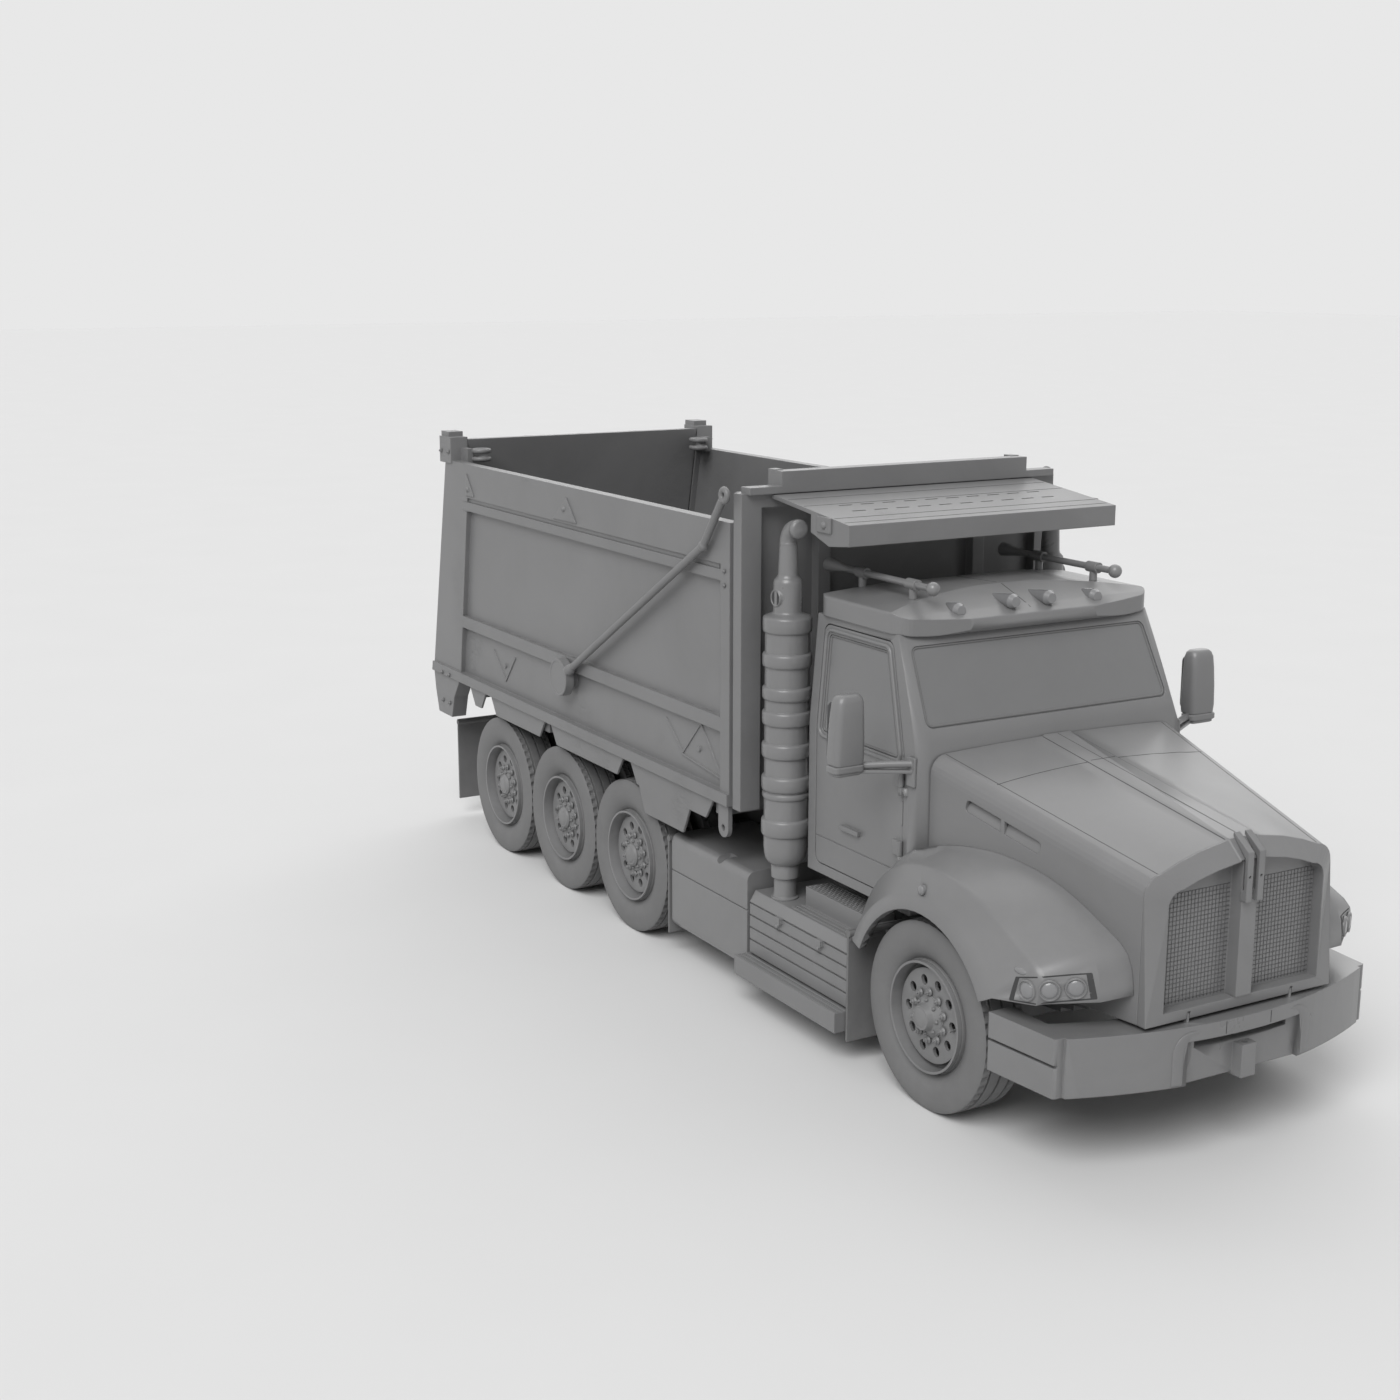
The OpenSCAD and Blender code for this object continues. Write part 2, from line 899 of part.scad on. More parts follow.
// A rim's barrel with its two lips and its drop well, about the wheel's axis
module rim_barrel(w) {
  half = w / 2 - rim_lip - pin_gap;
  bead = rim_r - pin_gap;
  rotate_extrude($fn = 96)
    polygon([[bead, -half - rim_lip], [bead, -half / 2], [bead - well_depth, -half / 4],
      [bead - well_depth, half / 4], [bead, half / 2], [bead, half + rim_lip],
      [bead - rim_t, half + rim_lip], [bead - rim_t - rim_t / 2, half / 2],
      [bead - well_depth - rim_t, half / 4], [bead - well_depth - rim_t, -half / 4],
      [bead - rim_t - rim_t / 2, -half / 2], [bead - rim_t, -half - rim_lip]]);
}

module rim_disc(z, t) {
  difference() {
    translate([0, 0, z])
      cylinder(r = rim_r - well_depth - rim_t / 2, h = t, $fn = 96);
    for (i = [0:hand_count - 1])
      rotate([0, 0, i * 360 / hand_count])
        translate([hand_circle, 0, z - over])
          cylinder(r = hand_r, h = t + 2 * over);
  }
}

module front_rim_shape() {
  z = steer_w / 2 - front_disc_in - disc_t;
  difference() {
    union() {
      rim_barrel(steer_w);
      rim_disc(z, disc_t);
      translate([0, 0, z])
        rotate_extrude()
          polygon([[spindle_r, -disc_t], [hub_r, -disc_t], [hub_r, disc_t + disc_t / 2],
            [cap_r, disc_t + cap_l / 2], [cap_r - rim_t, disc_t + cap_l], [0, disc_t + cap_l],
            [0, disc_t + cap_l / 2], [spindle_r, disc_t + cap_l / 4]]);
      rim_web(steer_w / 16, z + disc_t);
    }
    translate([0, 0, -steer_w])
      cylinder(r = spindle_r + hub_gap, h = steer_w + z + disc_t + hub_gap);
  }
}

// The cone that carries a disc out to the barrel's well
module rim_web(z0, z1) {
  r = rim_r - well_depth - rim_t / 2;
  difference() {
    translate([0, 0, z0])
      cylinder(r = r, h = z1 - z0, $fn = 96);
    translate([0, 0, z0 - over])
      cylinder(r = r - rim_t, h = z1 - z0 + 2 * over, $fn = 96);
  }
}

module rear_rim_shape() {
  z = twin_step / 2;
  disc_z = z + tyre_w / 2 - rear_disc_in - disc_t;
  face = disc_z + disc_t;
  difference() {
    union() {
      for (e = [-z, z])
        translate([0, 0, e])
          rim_barrel(tyre_w);
      rim_disc(disc_z, disc_t);
      rim_web(-z - tyre_w / 8, face);
      rotate_extrude()
        polygon([[spindle_r, -disc_t], [hub_r, -disc_t], [hub_r, face + disc_t / 2],
          [cap_r, face + disc_t], [cap_r, face + cap_l / 2], [cap_r - rim_t, face + cap_l / 2 + rim_t],
          [0, face + cap_l / 2 + rim_t], [0, hub_l / 2], [spindle_r, hub_l / 2]]);
    }
    translate([0, 0, -twin_step])
      cylinder(r = spindle_r + hub_gap, h = twin_step + disc_t + hub_gap);
  }
}

module pair_z() {
  children();
  mirror([0, 0, 1])
    children();
}

// Turns a shape about Z so that its outer face looks out to one side
module wheel_at(x, y, s) {
  on_side(s)
    translate([x, y, axle_z])
      rotate([-90, 0, 0])
        children();
}

module front_tyre(s) {
  color(dark)
    wheel_at(front_x, steer_y, s)
      tyre_ring(steer_w);
}

module front_rim(s) {
  color(pale)
    wheel_at(front_x, steer_y, s)
      front_rim_shape();
}

module rear_tyres(s, i) {
  color(dark)
    wheel_at(axle_xs()[i - 1], twin_y, s)
      for (e = [-twin_step / 2, twin_step / 2])
        translate([0, 0, e])
          tyre_ring(tyre_w);
}

module rear_rims(s, i) {
  color(pale)
    wheel_at(axle_xs()[i - 1], twin_y, s)
      rear_rim_shape();
}

// Cab
module cab_front_outline() {
  polygon([[-cab_y, cab_low], [cab_y, cab_low], [cab_y, door_belt], [roof_y, roof_z],
    [-roof_y, roof_z], [-cab_y, door_belt]]);
}

// The cab's closed outside, drawn in by an inset
module cab_solid(inset) {
  reach = cab_front - cab_rear;
  intersection() {
    block([cab_rear + inset, cab_front - inset], [-cab_y, cab_y], [cab_low + inset, roof_z - inset]);
    front_slab(cab_rear - over, cab_front + over)
      offset(delta = -inset)
        cab_front_outline();
    translate([cab_front, 0, screen_foot])
      rotate([0, -screen_tilt, 0])
        plan_slab(-2 * reach, 2 * reach)
          soft(cab_corner)
            rect([-3 * reach, -inset], [-cab_y + inset, cab_y - inset]);
  }
}

module door_outline() {
  soft(door_corner)
    polygon([[door_x[0], door_z[0]], [door_x[1] - door_cut[0], door_z[0]], [door_x[1],
      door_z[0] + door_cut[1]],
      [door_x[1], door_belt], [door_x[1] - door_lean, door_z[1]], [door_x[0], door_z[1]]]);
}

module pane_outline() {
  soft(door_corner / 2)
    intersection() {
      offset(delta = -pane_in)
        door_outline();
      rect(door_x, [pane_low, pane_z]);
    }
}

module screen_outline() {
  soft(screen_corner)
    polygon([[-screen_y - pane_in / 2, screen_z[0]], [screen_y + pane_in / 2, screen_z[0]],
      [screen_y, screen_z[1]], [-screen_y, screen_z[1]]]);
}

module rear_pane_outline() {
  soft(screen_corner)
    rect([-rear_pane_y, rear_pane_y], rear_pane_z);
}

screen_x = cab_front - (roof_z - screen_foot) * tan(screen_tilt);
hinge_x = door_x[1] - door_gap / 2;
hinge_y = cab_y + hinge_r;

module hinge_barrel(z0, z1, r) {
  translate([hinge_x, hinge_y, z0])
    cylinder(r = r, h = z1 - z0);
}

module cab_shell() {
  color(clay)
    union() {
      difference() {
        cab_solid(0);
        cab_solid(cab_wall);
        plan_slab(roof_z - 2 * cab_wall, roof_z + over)
          soft(door_corner)
            rect([cab_rear + 2 * cab_wall, screen_x - 2 * cab_wall], [-roof_y + 2 * cab_wall,
              roof_y - 2 * cab_wall]);
        pair() {
          side_slab(cab_y / 2, cab_y + over)
            door_outline();
          translate([front_x, 0, axle_z])
            along_y(well_r, well_y, cab_y + over);
        }
        front_slab((cab_rear + cab_front) / 2, cab_front + over)
          screen_outline();
        front_slab(cab_rear - over, cab_rear + cab_wall + over)
          rear_pane_outline();
      }
      pair() {
        for (x = cab_leg_x)
          block([x, x + cab_leg_w], [rail_in, rail_y], [rail_top, cab_low]);
        for (z = hinge_z) {
          hinge_barrel(z - hinge_l / 2, z, hinge_r);
          hinge_barrel(z - hinge_l / 2, z + hinge_l, hinge_r / 2);
          block([hinge_x, hinge_x + 3 * hinge_r], [cab_y - hinge_r / 2, hinge_y + hinge_r / 2],
            [z - hinge_l / 2, z]);
        }
      }
    }
}

function bowed(y_half, x_mid, bow, n) = [for (i = [-n:n]) [x_mid - bow * pow(i / n, 2), y_half * i / n]];

module roof_solid(inset) {
  edge = roof_y + roof_lip;
  intersection() {
    side_slab(-edge, edge)
      soft(roof_lip)
        polygon([[cab_rear + inset, roof_z - inset], [screen_x - inset, roof_z - inset],
          [roof_front - 2 * roof_lip - inset, roof_z - roof_lip + inset], [roof_front - inset,
            roof_z + roof_lip],
          [roof_front - roof_lip - inset, roof_z + 3 * roof_lip - inset],
          [roof_brow[0] - inset, roof_brow[1] - inset], [roof_crest_x, roof_mid_z - inset],
          [cab_rear + roof_corner, roof_mid_z - roof_lip - inset], [cab_rear + inset,
            roof_edge_z - roof_lip - inset]]);
    plan_slab(roof_z - roof_corner, roof_mid_z + over)
      offset(delta = -inset)
        soft(roof_corner)
          polygon(concat([[cab_rear, edge], [cab_rear, -edge]], bowed(edge, roof_front, roof_bow, 10)));
    front_slab(cab_rear - over, roof_front + over)
      offset(delta = -inset)
        soft(roof_lip)
          polygon(concat([[edge, roof_z - roof_corner], [-edge, roof_z - roof_corner]],
            [for (p = bowed(edge, roof_mid_z, roof_mid_z - roof_edge_z, 10)) [p[1], p[0]]]));
  }
}

module cab_roof() {
  color(clay)
    difference() {
      roof_solid(0);
      intersection() {
        roof_solid(roof_t);
        block([cab_rear, screen_x - cab_wall], [-roof_y, roof_y], [roof_z, roof_mid_z]);
      }
      block([cab_rear + 2 * cab_wall, screen_x - 2 * cab_wall], [-roof_y + 2 * cab_wall,
        roof_y - 2 * cab_wall],
        [roof_z - over, roof_z + over]);
      block([cab_rear - over, screen_x], [-cab_y, cab_y], [roof_z - roof_corner, roof_z]);
    }
}

module glass_layer() {
  difference() {
    cab_solid(pane_a);
    cab_solid(pane_b);
  }
}

module cab_glass() {
  color(pale) {
    intersection() {
      glass_layer();
      front_slab((cab_rear + cab_front) / 2, cab_front)
        screen_outline();
    }
    front_slab(cab_rear + pane_a, cab_rear + pane_b)
      rear_pane_outline();
  }
}

module door_skin(inset) {
  intersection() {
    difference() {
      cab_solid(0);
      cab_solid(cab_wall);
    }
    side_slab(cab_y / 2, cab_y + over)
      offset(delta = -inset)
        door_outline();
  }
}

module door(s) {
  color(clay)
    on_side(s)
      union() {
        difference() {
          door_skin(door_gap);
          side_slab(cab_y / 2, cab_y + over)
            pane_outline();
          block([door_x[0] - over, door_x[1] - door_lean / 2], [cab_y - door_gap / 2, cab_y + over],
            [crease_z - door_gap, crease_z]);
          for (z = hinge_z)
            hinge_barrel(z - hinge_l, z + 2 * hinge_l, hinge_r + door_gap);
        }
        block(handle_x, [cab_y - door_gap, cab_y + handle_out], handle_z);
        for (z = hinge_z)
          difference() {
            union() {
              hinge_barrel(z + pin_gap, z + hinge_l, hinge_r);
              block([hinge_x - 4 * hinge_r, hinge_x], [cab_y - hinge_r / 2, hinge_y + hinge_r / 2],
                [z + pin_gap, z + hinge_l]);
            }
            hinge_barrel(z - over, z + hinge_l + over, hinge_r / 2 + pin_gap);
          }
      }
}

module door_glass(s) {
  color(pale)
    on_side(s)
      intersection() {
        glass_layer();
        side_slab(cab_y / 2, cab_y)
          pane_outline();
      }
}

module seats() {
  floor_z = cab_low + cab_wall;
  color(dark)
    for (y = [-seat_y, seat_y])
      translate([0, y, 0])
        union() {
          block([seat_x[0] + seat_back_t, seat_x[1]], [-seat_w / 2, seat_w / 2], seat_z);
          block([seat_x[0] + seat_back_t, seat_x[0] + seat_back_t + seat_foot_w],
            [-seat_foot_w / 2, seat_foot_w / 2], [floor_z, seat_z[0]]);
          side_slab(-seat_w / 2, seat_w / 2)
            soft(seat_back_t / 4)
              polygon([[seat_x[0], seat_z[0]], [seat_x[0] + seat_back_t + seat_back_lean, seat_z[0]],
                [seat_x[0] + seat_back_t, seat_back_top], [seat_x[0] - seat_back_lean / 2, seat_back_top]]);
        }
}

module dashboard() {
  y = cab_y - 2 * cab_wall;
  color(dark)
    difference() {
      side_slab(-y, y)
        soft(cab_wall / 2)
          polygon([[dash_x[0], dash_z[0]], [cab_front - cab_wall, dash_z[0]],
            [cab_front - cab_wall, dash_z[1] - cab_wall], [dash_x[1], dash_z[1]],
            [dash_x[0] + cab_wall, dash_z[1]], [dash_x[0], dash_z[1] - 2 * cab_wall]]);
      at_wheel()
        translate([0, 0, -wheel_r - column_r])
          cylinder(r = column_r + seat_gap, h = wheel_r + column_r);
    }
}

module at_wheel() {
  translate([wheel_x, seat_y, wheel_z])
    rotate([0, -wheel_tilt, 0])
      children();
}

module steering_wheel() {
  color(dark)
    at_wheel()
      union() {
        rotate_extrude($fn = 64)
          translate([wheel_r, 0])
            circle(r = wheel_tube);
        for (a = [0, 120, 240])
          rotate([0, 0, a])
            rotate([0, 90, 0])
              cylinder(r = wheel_tube / 2, h = wheel_r);
        translate([0, 0, -column_r])
          cylinder(r = 2 * column_r, h = 2 * column_r);
        translate([0, 0, -wheel_r])
          cylinder(r = column_r, h = wheel_r);
      }
}

// Roof and side fittings
module air_horns() {
  color(pale)
    difference() {
      pair()
        horn();
      roof_solid(0);
    }
}

module horn() {
  translate([0, horn_y, horn_z])
    union() {
      bar([horn_x[0], 0, 0], [horn_x[1], 0, 0], horn_tube_r);
      translate([horn_x[0], 0, 0])
        rotate([0, 90, 0])
          cylinder(r1 = horn_bell_r, r2 = horn_tube_r, h = horn_bell_l);
      translate([horn_x[1], 0, 0])
        sphere(r = 2 * horn_tube_r);
      for (t = horn_leg_shares)
        let (x = mix(horn_x[0], horn_x[1], t))
          translate([x, 0, roof_edge_z - horn_z]) {
            cylinder(r = horn_leg, h = horn_z - roof_edge_z);
            translate([-2 * horn_leg, 0, horn_z - roof_edge_z])
              rotate([0, 90, 0])
                cylinder(r = horn_bell_r - horn_tube_r / 2, h = 4 * horn_leg);
          }
    }
}

module roof_lamps() {
  color(pale)
    difference() {
      pair()
        for (i = [0:1])
          translate([roof_lamp_x[i], roof_lamp_y[i], roof_lamp_z[i] - lamp_r])
            rotate([0, 90, 0]) {
              cylinder(r1 = lamp_r, r2 = lamp_r - lamp_nose / 2, h = lamp_nose);
              translate([0, 0, -lamp_l])
                cylinder(r1 = lamp_r / 2, r2 = lamp_r, h = lamp_l);
            }
      roof_solid(0);
    }
}

module mirrors() {
  base_x = (mirror_x[0] + mirror_x[1]) / 2;
  color(clay)
    pair()
      union() {
        intersection() {
          plan_slab(mirror_base_z, mirror_z[1])
            soft(mirror_corner)
              rect(mirror_x, mirror_y);
          front_slab(mirror_x[0], mirror_x[1])
            soft(mirror_corner)
              rect(mirror_y, [mirror_base_z, mirror_z[1]]);
        }
        bar([base_x, mirror_y[0] + mirror_corner, mirror_z[0] - mirror_corner / 2], mirror_root,
          mirror_arm_r);
        bar([base_x, mirror_y[0] + mirror_corner, mirror_base_z + mirror_corner / 2],
          [mirror_root[0], mirror_root[1], mirror_brace_z - 2 * mirror_arm_r], mirror_arm_r / 2);
        block([mirror_root[0] - mirror_corner, mirror_root[0] + mirror_corner], [cab_y, cab_y + mirror_pad],
          [mirror_brace_z - 4 * mirror_arm_r, mirror_root[2] + 2 * mirror_arm_r]);
      }
}

module exhaust_stacks() {
  color(clay)
    pair()
      translate([stack_x, stack_y, 0])
        union() {
          translate([0, 0, stack_foot])
            cylinder(r = stack_neck_r, h = rim_t);
          translate([0, 0, stack_foot])
            cylinder(r = stack_pipe_r, h = stack_collar[1] - stack_foot);
          translate([0, 0, stack_low - stack_pipe_r])
            cylinder(r1 = stack_neck_r, r2 = stack_r, h = stack_pipe_r);
          translate([0, 0, stack_low])
            cylinder(r = stack_r, h = stack_top - stack_low);
          for (t = band_shares)
            translate([0, 0, mix(stack_low, stack_top, t) - band_w / 2])
              cylinder(r = stack_band, h = band_w);
          translate([0, 0, stack_top])
            cylinder(r1 = stack_r, r2 = stack_neck_r, h = stack_collar[0] - stack_top);
          difference() {
            translate([0, 0, stack_collar[0] - over])
              cylinder(r = stack_neck_r, h = stack_collar[1] - stack_collar[0]);
            translate([0, 0, (stack_collar[0] + stack_collar[1]) / 2])
              along_y(stack_pipe_r / 2, stack_pipe_r, stack_neck_r + over);
          }
          translate([0, 0, stack_collar[1] - 2 * over])
            cylinder(r1 = stack_neck_r, r2 = stack_tip_r, h = stack_neck_r);
          translate([0, 0, stack_collar[1]])
            cylinder(r = stack_tip_r, h = stack_elbow_z - stack_collar[1]);
          translate([stack_elbow_r, 0, stack_elbow_z])
            rotate([90, 0, 0])
              rotate([0, 0, 90])
                rotate_extrude(angle = 90)
                  translate([stack_elbow_r, 0])
                    circle(r = stack_tip_r);
          translate([stack_elbow_r, 0, stack_elbow_z + stack_elbow_r])
            rotate([0, 90, 0])
              cylinder(r = stack_tip_r + rim_t / 2, h = stack_tip_l);
        }
}

module fuel_tanks() {
  color(clay)
    pair()
      union() {
        difference() {
          front_slab(tank_x[0], tank_x[1])
            soft(tank_corner)
              rect(tank_y, tank_z);
          translate([tank_notch_x, 0, tank_z[1]])
            along_y(tank_notch_r, tank_y[1] - 2 * tank_corner, tank_y[1] + over);
          block([tank_x[0] - over, tank_x[1] + over], [tank_y[1] - tank_seam, tank_y[1] + over],
            [tank_seam_z, tank_seam_z + tank_seam]);
        }
        for (t = strap_shares)
          let (x = mix(tank_x[0], tank_x[1], t) - strap_w / 2)
            block([x, x + strap_w], [rail_y, tank_y[0] + strap_t], [rail_low + rail_t,
              tank_z[1] - tank_corner]);
      }
}

module step_boxes() {
  color(clay)
    pair()
      union() {
        difference() {
          front_slab(box_x[0], box_x[1])
            polygon([[box_y[0], box_z[0]], [box_y[1], box_z[0]], [box_y[1], box_z[1] - box_slope[1]],
              [box_y[1] - box_slope[0], box_z[1]], [box_y[0], box_z[1]]]);
          for (t = box_groove_shares)
            let (z = mix(box_z[0], box_z[1], t))
              block([box_x[0] - over, box_x[1] + over], [box_y[1] - box_groove, box_y[1] + over],
                [z, z + box_groove]);
        }
        block(step_x, step_y, step_z);
        block(sill_x, sill_step_y, [box_z[1] - over, sill_top]);
        for (x = [step_x[0] + step_leg, step_x[1] - 2 * step_leg])
          block([x, x + step_leg], [step_y[0], step_y[0] + step_leg], [step_z[1], box_z[0]]);
        for (t = latch_shares)
          let (x = mix(box_x[0], box_x[1], t))
            block([x, x + latch_w], [box_y[1] - box_groove - over, box_y[1] + latch_t],
              [box_z[1] - box_slope[1] - latch_h, box_z[1] - box_slope[1]]);
        for (t = strap_shares)
          let (x = mix(box_x[0], box_x[1], t) - strap_w / 2)
            block([x, x + strap_w], [rail_y, box_y[0] + strap_t], [rail_low + rail_t,
              box_z[1] - box_groove]);
      }
}

module hung_flap(x, y, root) {
  block([x, x + flap_t], y, flap_z);
  translate([x + flap_t / 2, 0, flap_z[1] - flap_bar_drop])
    along_y(flap_bar_r, root, y[1]);
}

module mud_flaps() {
  color(dark)
    pair() {
      hung_flap(front_flap_x, front_flap_y, rail_y);
      hung_flap(mid_flap_x, mid_flap_y, rail_y);
      union() {
        hung_flap(rear_flap_x, rear_flap_y, rail_y);
        block([rear_flap_x, frame_rear], [rail_y, rail_y + 2 * flap_bar_r],
          [flap_z[1] - flap_bar_drop - flap_bar_r, flap_z[1]]);
      }
    }
}

module tail_lamps() {
  mid_z = (tail_bar_z[0] + tail_bar_z[1]) / 2;
  color(clay)
    union() {
      block(tail_bar_x, [-tail_bar_y, tail_bar_y], tail_bar_z);
      pair()
        for (y = tail_lamp_y)
          translate([tail_bar_x[0] - tail_lamp_t, y, mid_z])
            rotate([0, 90, 0])
              cylinder(r = tail_lamp_r, h = tail_lamp_t + rim_t);
    }
}

// Front bumper
function bumper_line(inset) = bowed(bumper_corner_y, bumper_front - inset,
  bumper_front - bumper_corner_x, 12);

module bumper() {
  pin = [hinge_pin_x, hinge_pin_z];
  color(clay)
    union() {
      difference() {
        union() {
          plan_slab(bumper_low, bumper_top)
            polygon(concat(
              [[bumper_end_x, -bumper_end_in], [bumper_end_x, -bumper_y],
               [bumper_corner_x - bumper_side_in, -bumper_y + bumper_side_in * 2]],
              bumper_line(0),
              [[bumper_corner_x - bumper_side_in, bumper_y - bumper_side_in * 2],
               [bumper_end_x, bumper_y], [bumper_end_x, bumper_end_in]],
              reversed([for (p = bumper_line(bumper_deep)) [p[0],
                p[1] * bumper_end_in / bumper_corner_y]])));
        }
        pair() {
          block([bumper_end_x - over, bumper_corner_x], [bumper_y - bumper_side_in * 2 - over,
            bumper_y + over],
            [bumper_groove_z, bumper_groove_z + bumper_groove]);
          block([bumper_corner_x - bumper_groove, bumper_corner_x + over],
            [bumper_corner_y - bumper_groove, bumper_y + over], [bumper_low - over, bumper_top + over]);
        }
        block([bumper_front - bumper_recess_d, bumper_front + over], [-bumper_recess_y, bumper_recess_y],
          [bumper_low - over, bumper_slot_z[1]]);
        block([bumper_front - bumper_recess_d * 2, bumper_front], [-bumper_slot_y, bumper_slot_y],
          bumper_slot_z);
      }
      pair() {
        block([frame_front, bumper_corner_x + bumper_side_in], [rail_in, rail_y], [rail_low,
          rail_low + rail_flange]);
        side_slab(hinge_ear_y, hinge_ear_y + hinge_ear_t)
          union() {
            translate(pin)
              circle(r = hinge_ear_r);
            translate([pin[0] - hinge_ear_r, bumper_top - over])
              square([2 * hinge_ear_r, pin[1] - bumper_top + over]);
          }
        translate([pin[0], 0, pin[1]])
          along_y(hinge_pin_r, hinge_ear_y - hinge_ear_t * 2, hinge_ear_y + hinge_ear_t * 3);
      }
      difference() {
        block(tow_x, [-tow_y, tow_y], tow_z);
        translate([tow_x[1] - tow_bore_r - tow_wall, 0, tow_z[0] - over])
          cylinder(r = tow_bore_r, h = tow_z[1] - tow_z[0] + 2 * over);
      }
    }
}

// Hood and fenders
function hood_u(x) = (x - hood_rear) / (hood_front - hood_rear);
function hood_half_y(x) = mix(hood_rear_y, hood_front_y, hood_u(x));
function arch_over(x) =
  let (d = x - front_x, r = arch_r + over)
    abs(d) < r ? axle_z + sqrt(r * r - d * d) : 0;
function hood_low(x) = max(shell_low, arch_over(x));

// Half a hood section from its lower edge over the shoulder to the middle, drawn in by an inset
function hood_half(x, inset) =
  let (w = hood_half_y(x) - inset,
       edge = mix(hood_edge_z[0], hood_edge_z[1], hood_u(x)) - inset,
       mid = mix(hood_mid_z[0], hood_mid_z[1], hood_u(x)) - inset,
       flat = w - shoulder_r)
    concat([[w, hood_low(x)]],
      [for (a = [0:15:90]) [flat + shoulder_r * cos(a), edge - shoulder_r + shoulder_r * sin(a)]],
      [for (t = crown_shares) [flat * t, edge + (mid - edge) * (1 - t * t)]],
      [[strip_y, mid], [strip_y - strip_step, mid + strip_h], [0, mid + strip_h]]);
function hood_run(x, inset) =
  let (half = hood_half(x, inset))
    concat([for (p = half) [x, -p[0], p[1]]],
      [for (i = [len(half) - 2:-1:0]) [x, half[i][0], half[i][1]]]);

module hood_shell() {
  skin([for (t = hood_station_shares)
    let (x = mix(hood_rear, hood_front, t))
      concat(hood_run(x, 0), reversed(hood_run(x, hood_t)))]);
}

function at_arch(r, a, y) = [front_x + r * cos(a), y, axle_z + r * sin(a)];
function off_hood(p) = [p[0], max(p[1], hood_half_y(p[0]) + seat_gap), p[2]];
function fender_ring(row) =
  let (rim = arch_r + lip_h, step = rim + fender_t / 2, t = fender_t,
       fold = row[2] * arch_r, shelf = row[4] * arch_r,
       root_x = at_arch(shelf + fender_root, row[3], 0)[0],
       beside = root_x < hood_rear + fender_ease, root_y = beside ? fender_in : 0,
       shelf_out = beside ? fender_in + 2 * t : max(shelf_y, hood_half_y(root_x) + t))
    [at_arch(arch_r, row[0], lip_y), at_arch(rim, row[0], lip_y), at_arch(step, row[0], fender_y),
     at_arch(fold, row[1], crease_y), at_arch(fold + crease_soft / 2, row[1], crease_y - crease_soft),
     at_arch(shelf, row[3], shelf_out), off_hood(at_arch(shelf + fender_root, row[3], root_y)),
     off_hood(at_arch(shelf + fender_root - t, row[3], root_y)),
     off_hood(at_arch(shelf - t, row[3], shelf_out - t / 2)),
     at_arch(fold - t, row[1], crease_y - crease_soft - t / 2), at_arch(fold - t, row[1], crease_y - t),
     at_arch(step, row[0], fender_y - t), at_arch(rim, row[0], lip_y - 2 * t),
     at_arch(arch_r, row[0], lip_y - 2 * t)];

module fender() {
  skin([for (row = reversed(fine_rows(fender_shares, fender_fine))) fender_ring(row)]);
}

module lens(i, r, back, front) {
  place = lens_places[i];
  translate([front_x + place[0], place[1], place[2]])
    rotate([0, 0, lens_yaws[i]])
      rotate([0, 90, 0])
        translate([0, 0, -back])
          cylinder(r = r, h = back + front);
}

module marker(r, out) {
  translate([front_x + side_lamp[0], 0, axle_z + side_lamp[2]])
    along_y(r, side_lamp[1] - side_lamp_r, side_lamp[1] + out);
}

module vent() {
  mid = (vent_x[0] + vent_x[1]) / 2;
  side_slab(0, hood_rear_y + over)
    difference() {
      translate([mid, vent_z])
        rotate([0, 0, -vent_drop])
          soft(vent_h / 3)
            square([vent_x[1] - vent_x[0], vent_h], center = true);
      translate([mid - vent_bar / 2, vent_z - vent_h])
        square([vent_bar, 2 * vent_h]);
    }
}

module hood() {
  color(clay)
    difference() {
      hood_shell();
      pair()
        vent();
    }
}

module fenders() {
  color(clay)
    pair()
      difference() {
        fender();
        for (i = [0:len(lens_places) - 1])
          lens(i, lens_r + pin_gap, lens_far, lens_far);
        marker(side_lamp_r / 2 + pin_gap, side_lamp_r);
      }
}

module headlamps() {
  color(pale)
    pair() {
      for (i = [0:len(lens_places) - 1])
        lens(i, lens_r, lens_t, lens_t / 4);
      marker(side_lamp_r / 2, side_lamp_out);
    }
}

// The grille shell: the hood's front outline led in to the grille opening
function shell_outline() = [for (p = hood_run(hood_front, 0)) [p[1], p[2]]];
function shell_loop(x, bow, y_share, z_share, low) =
  [for (p = shell_outline())
    [x + bow * (1 - pow(p[0] / hood_front_y, 2)), p[0] * y_share, low + (p[1] - shell_low) * z_share]];
function shell_crease() =
  [for (p = shell_outline())
    [p[1] < shell_low + over ? hinge_pin_x + hinge_ear_r : hood_front + strip_h, p[0], p[1]]];

module grille_shell() {
  color(clay)
    difference() {
      skin_loop([shell_loop(hood_front, 0, 1, 1, shell_low), shell_crease(),
        shell_loop(shell_x, shell_bow, open_y_share, open_z_share, open_low),
        shell_loop(hood_front, 0, open_y_share, open_z_share, open_low)]);
      pair() {
        block([hood_front - over, bumper_front], [hinge_ear_y - slide_gap / 2,
          hinge_ear_y + hinge_ear_t + slide_gap / 2],
          [bumper_top, hinge_pin_z + hinge_ear_r + slide_gap / 2]);
        translate([hinge_pin_x, 0, hinge_pin_z])
          along_y(hinge_pin_r + pin_gap, hinge_ear_y - hinge_ear_t * 3, hinge_ear_y + hinge_ear_t * 4);
      }
    }
}

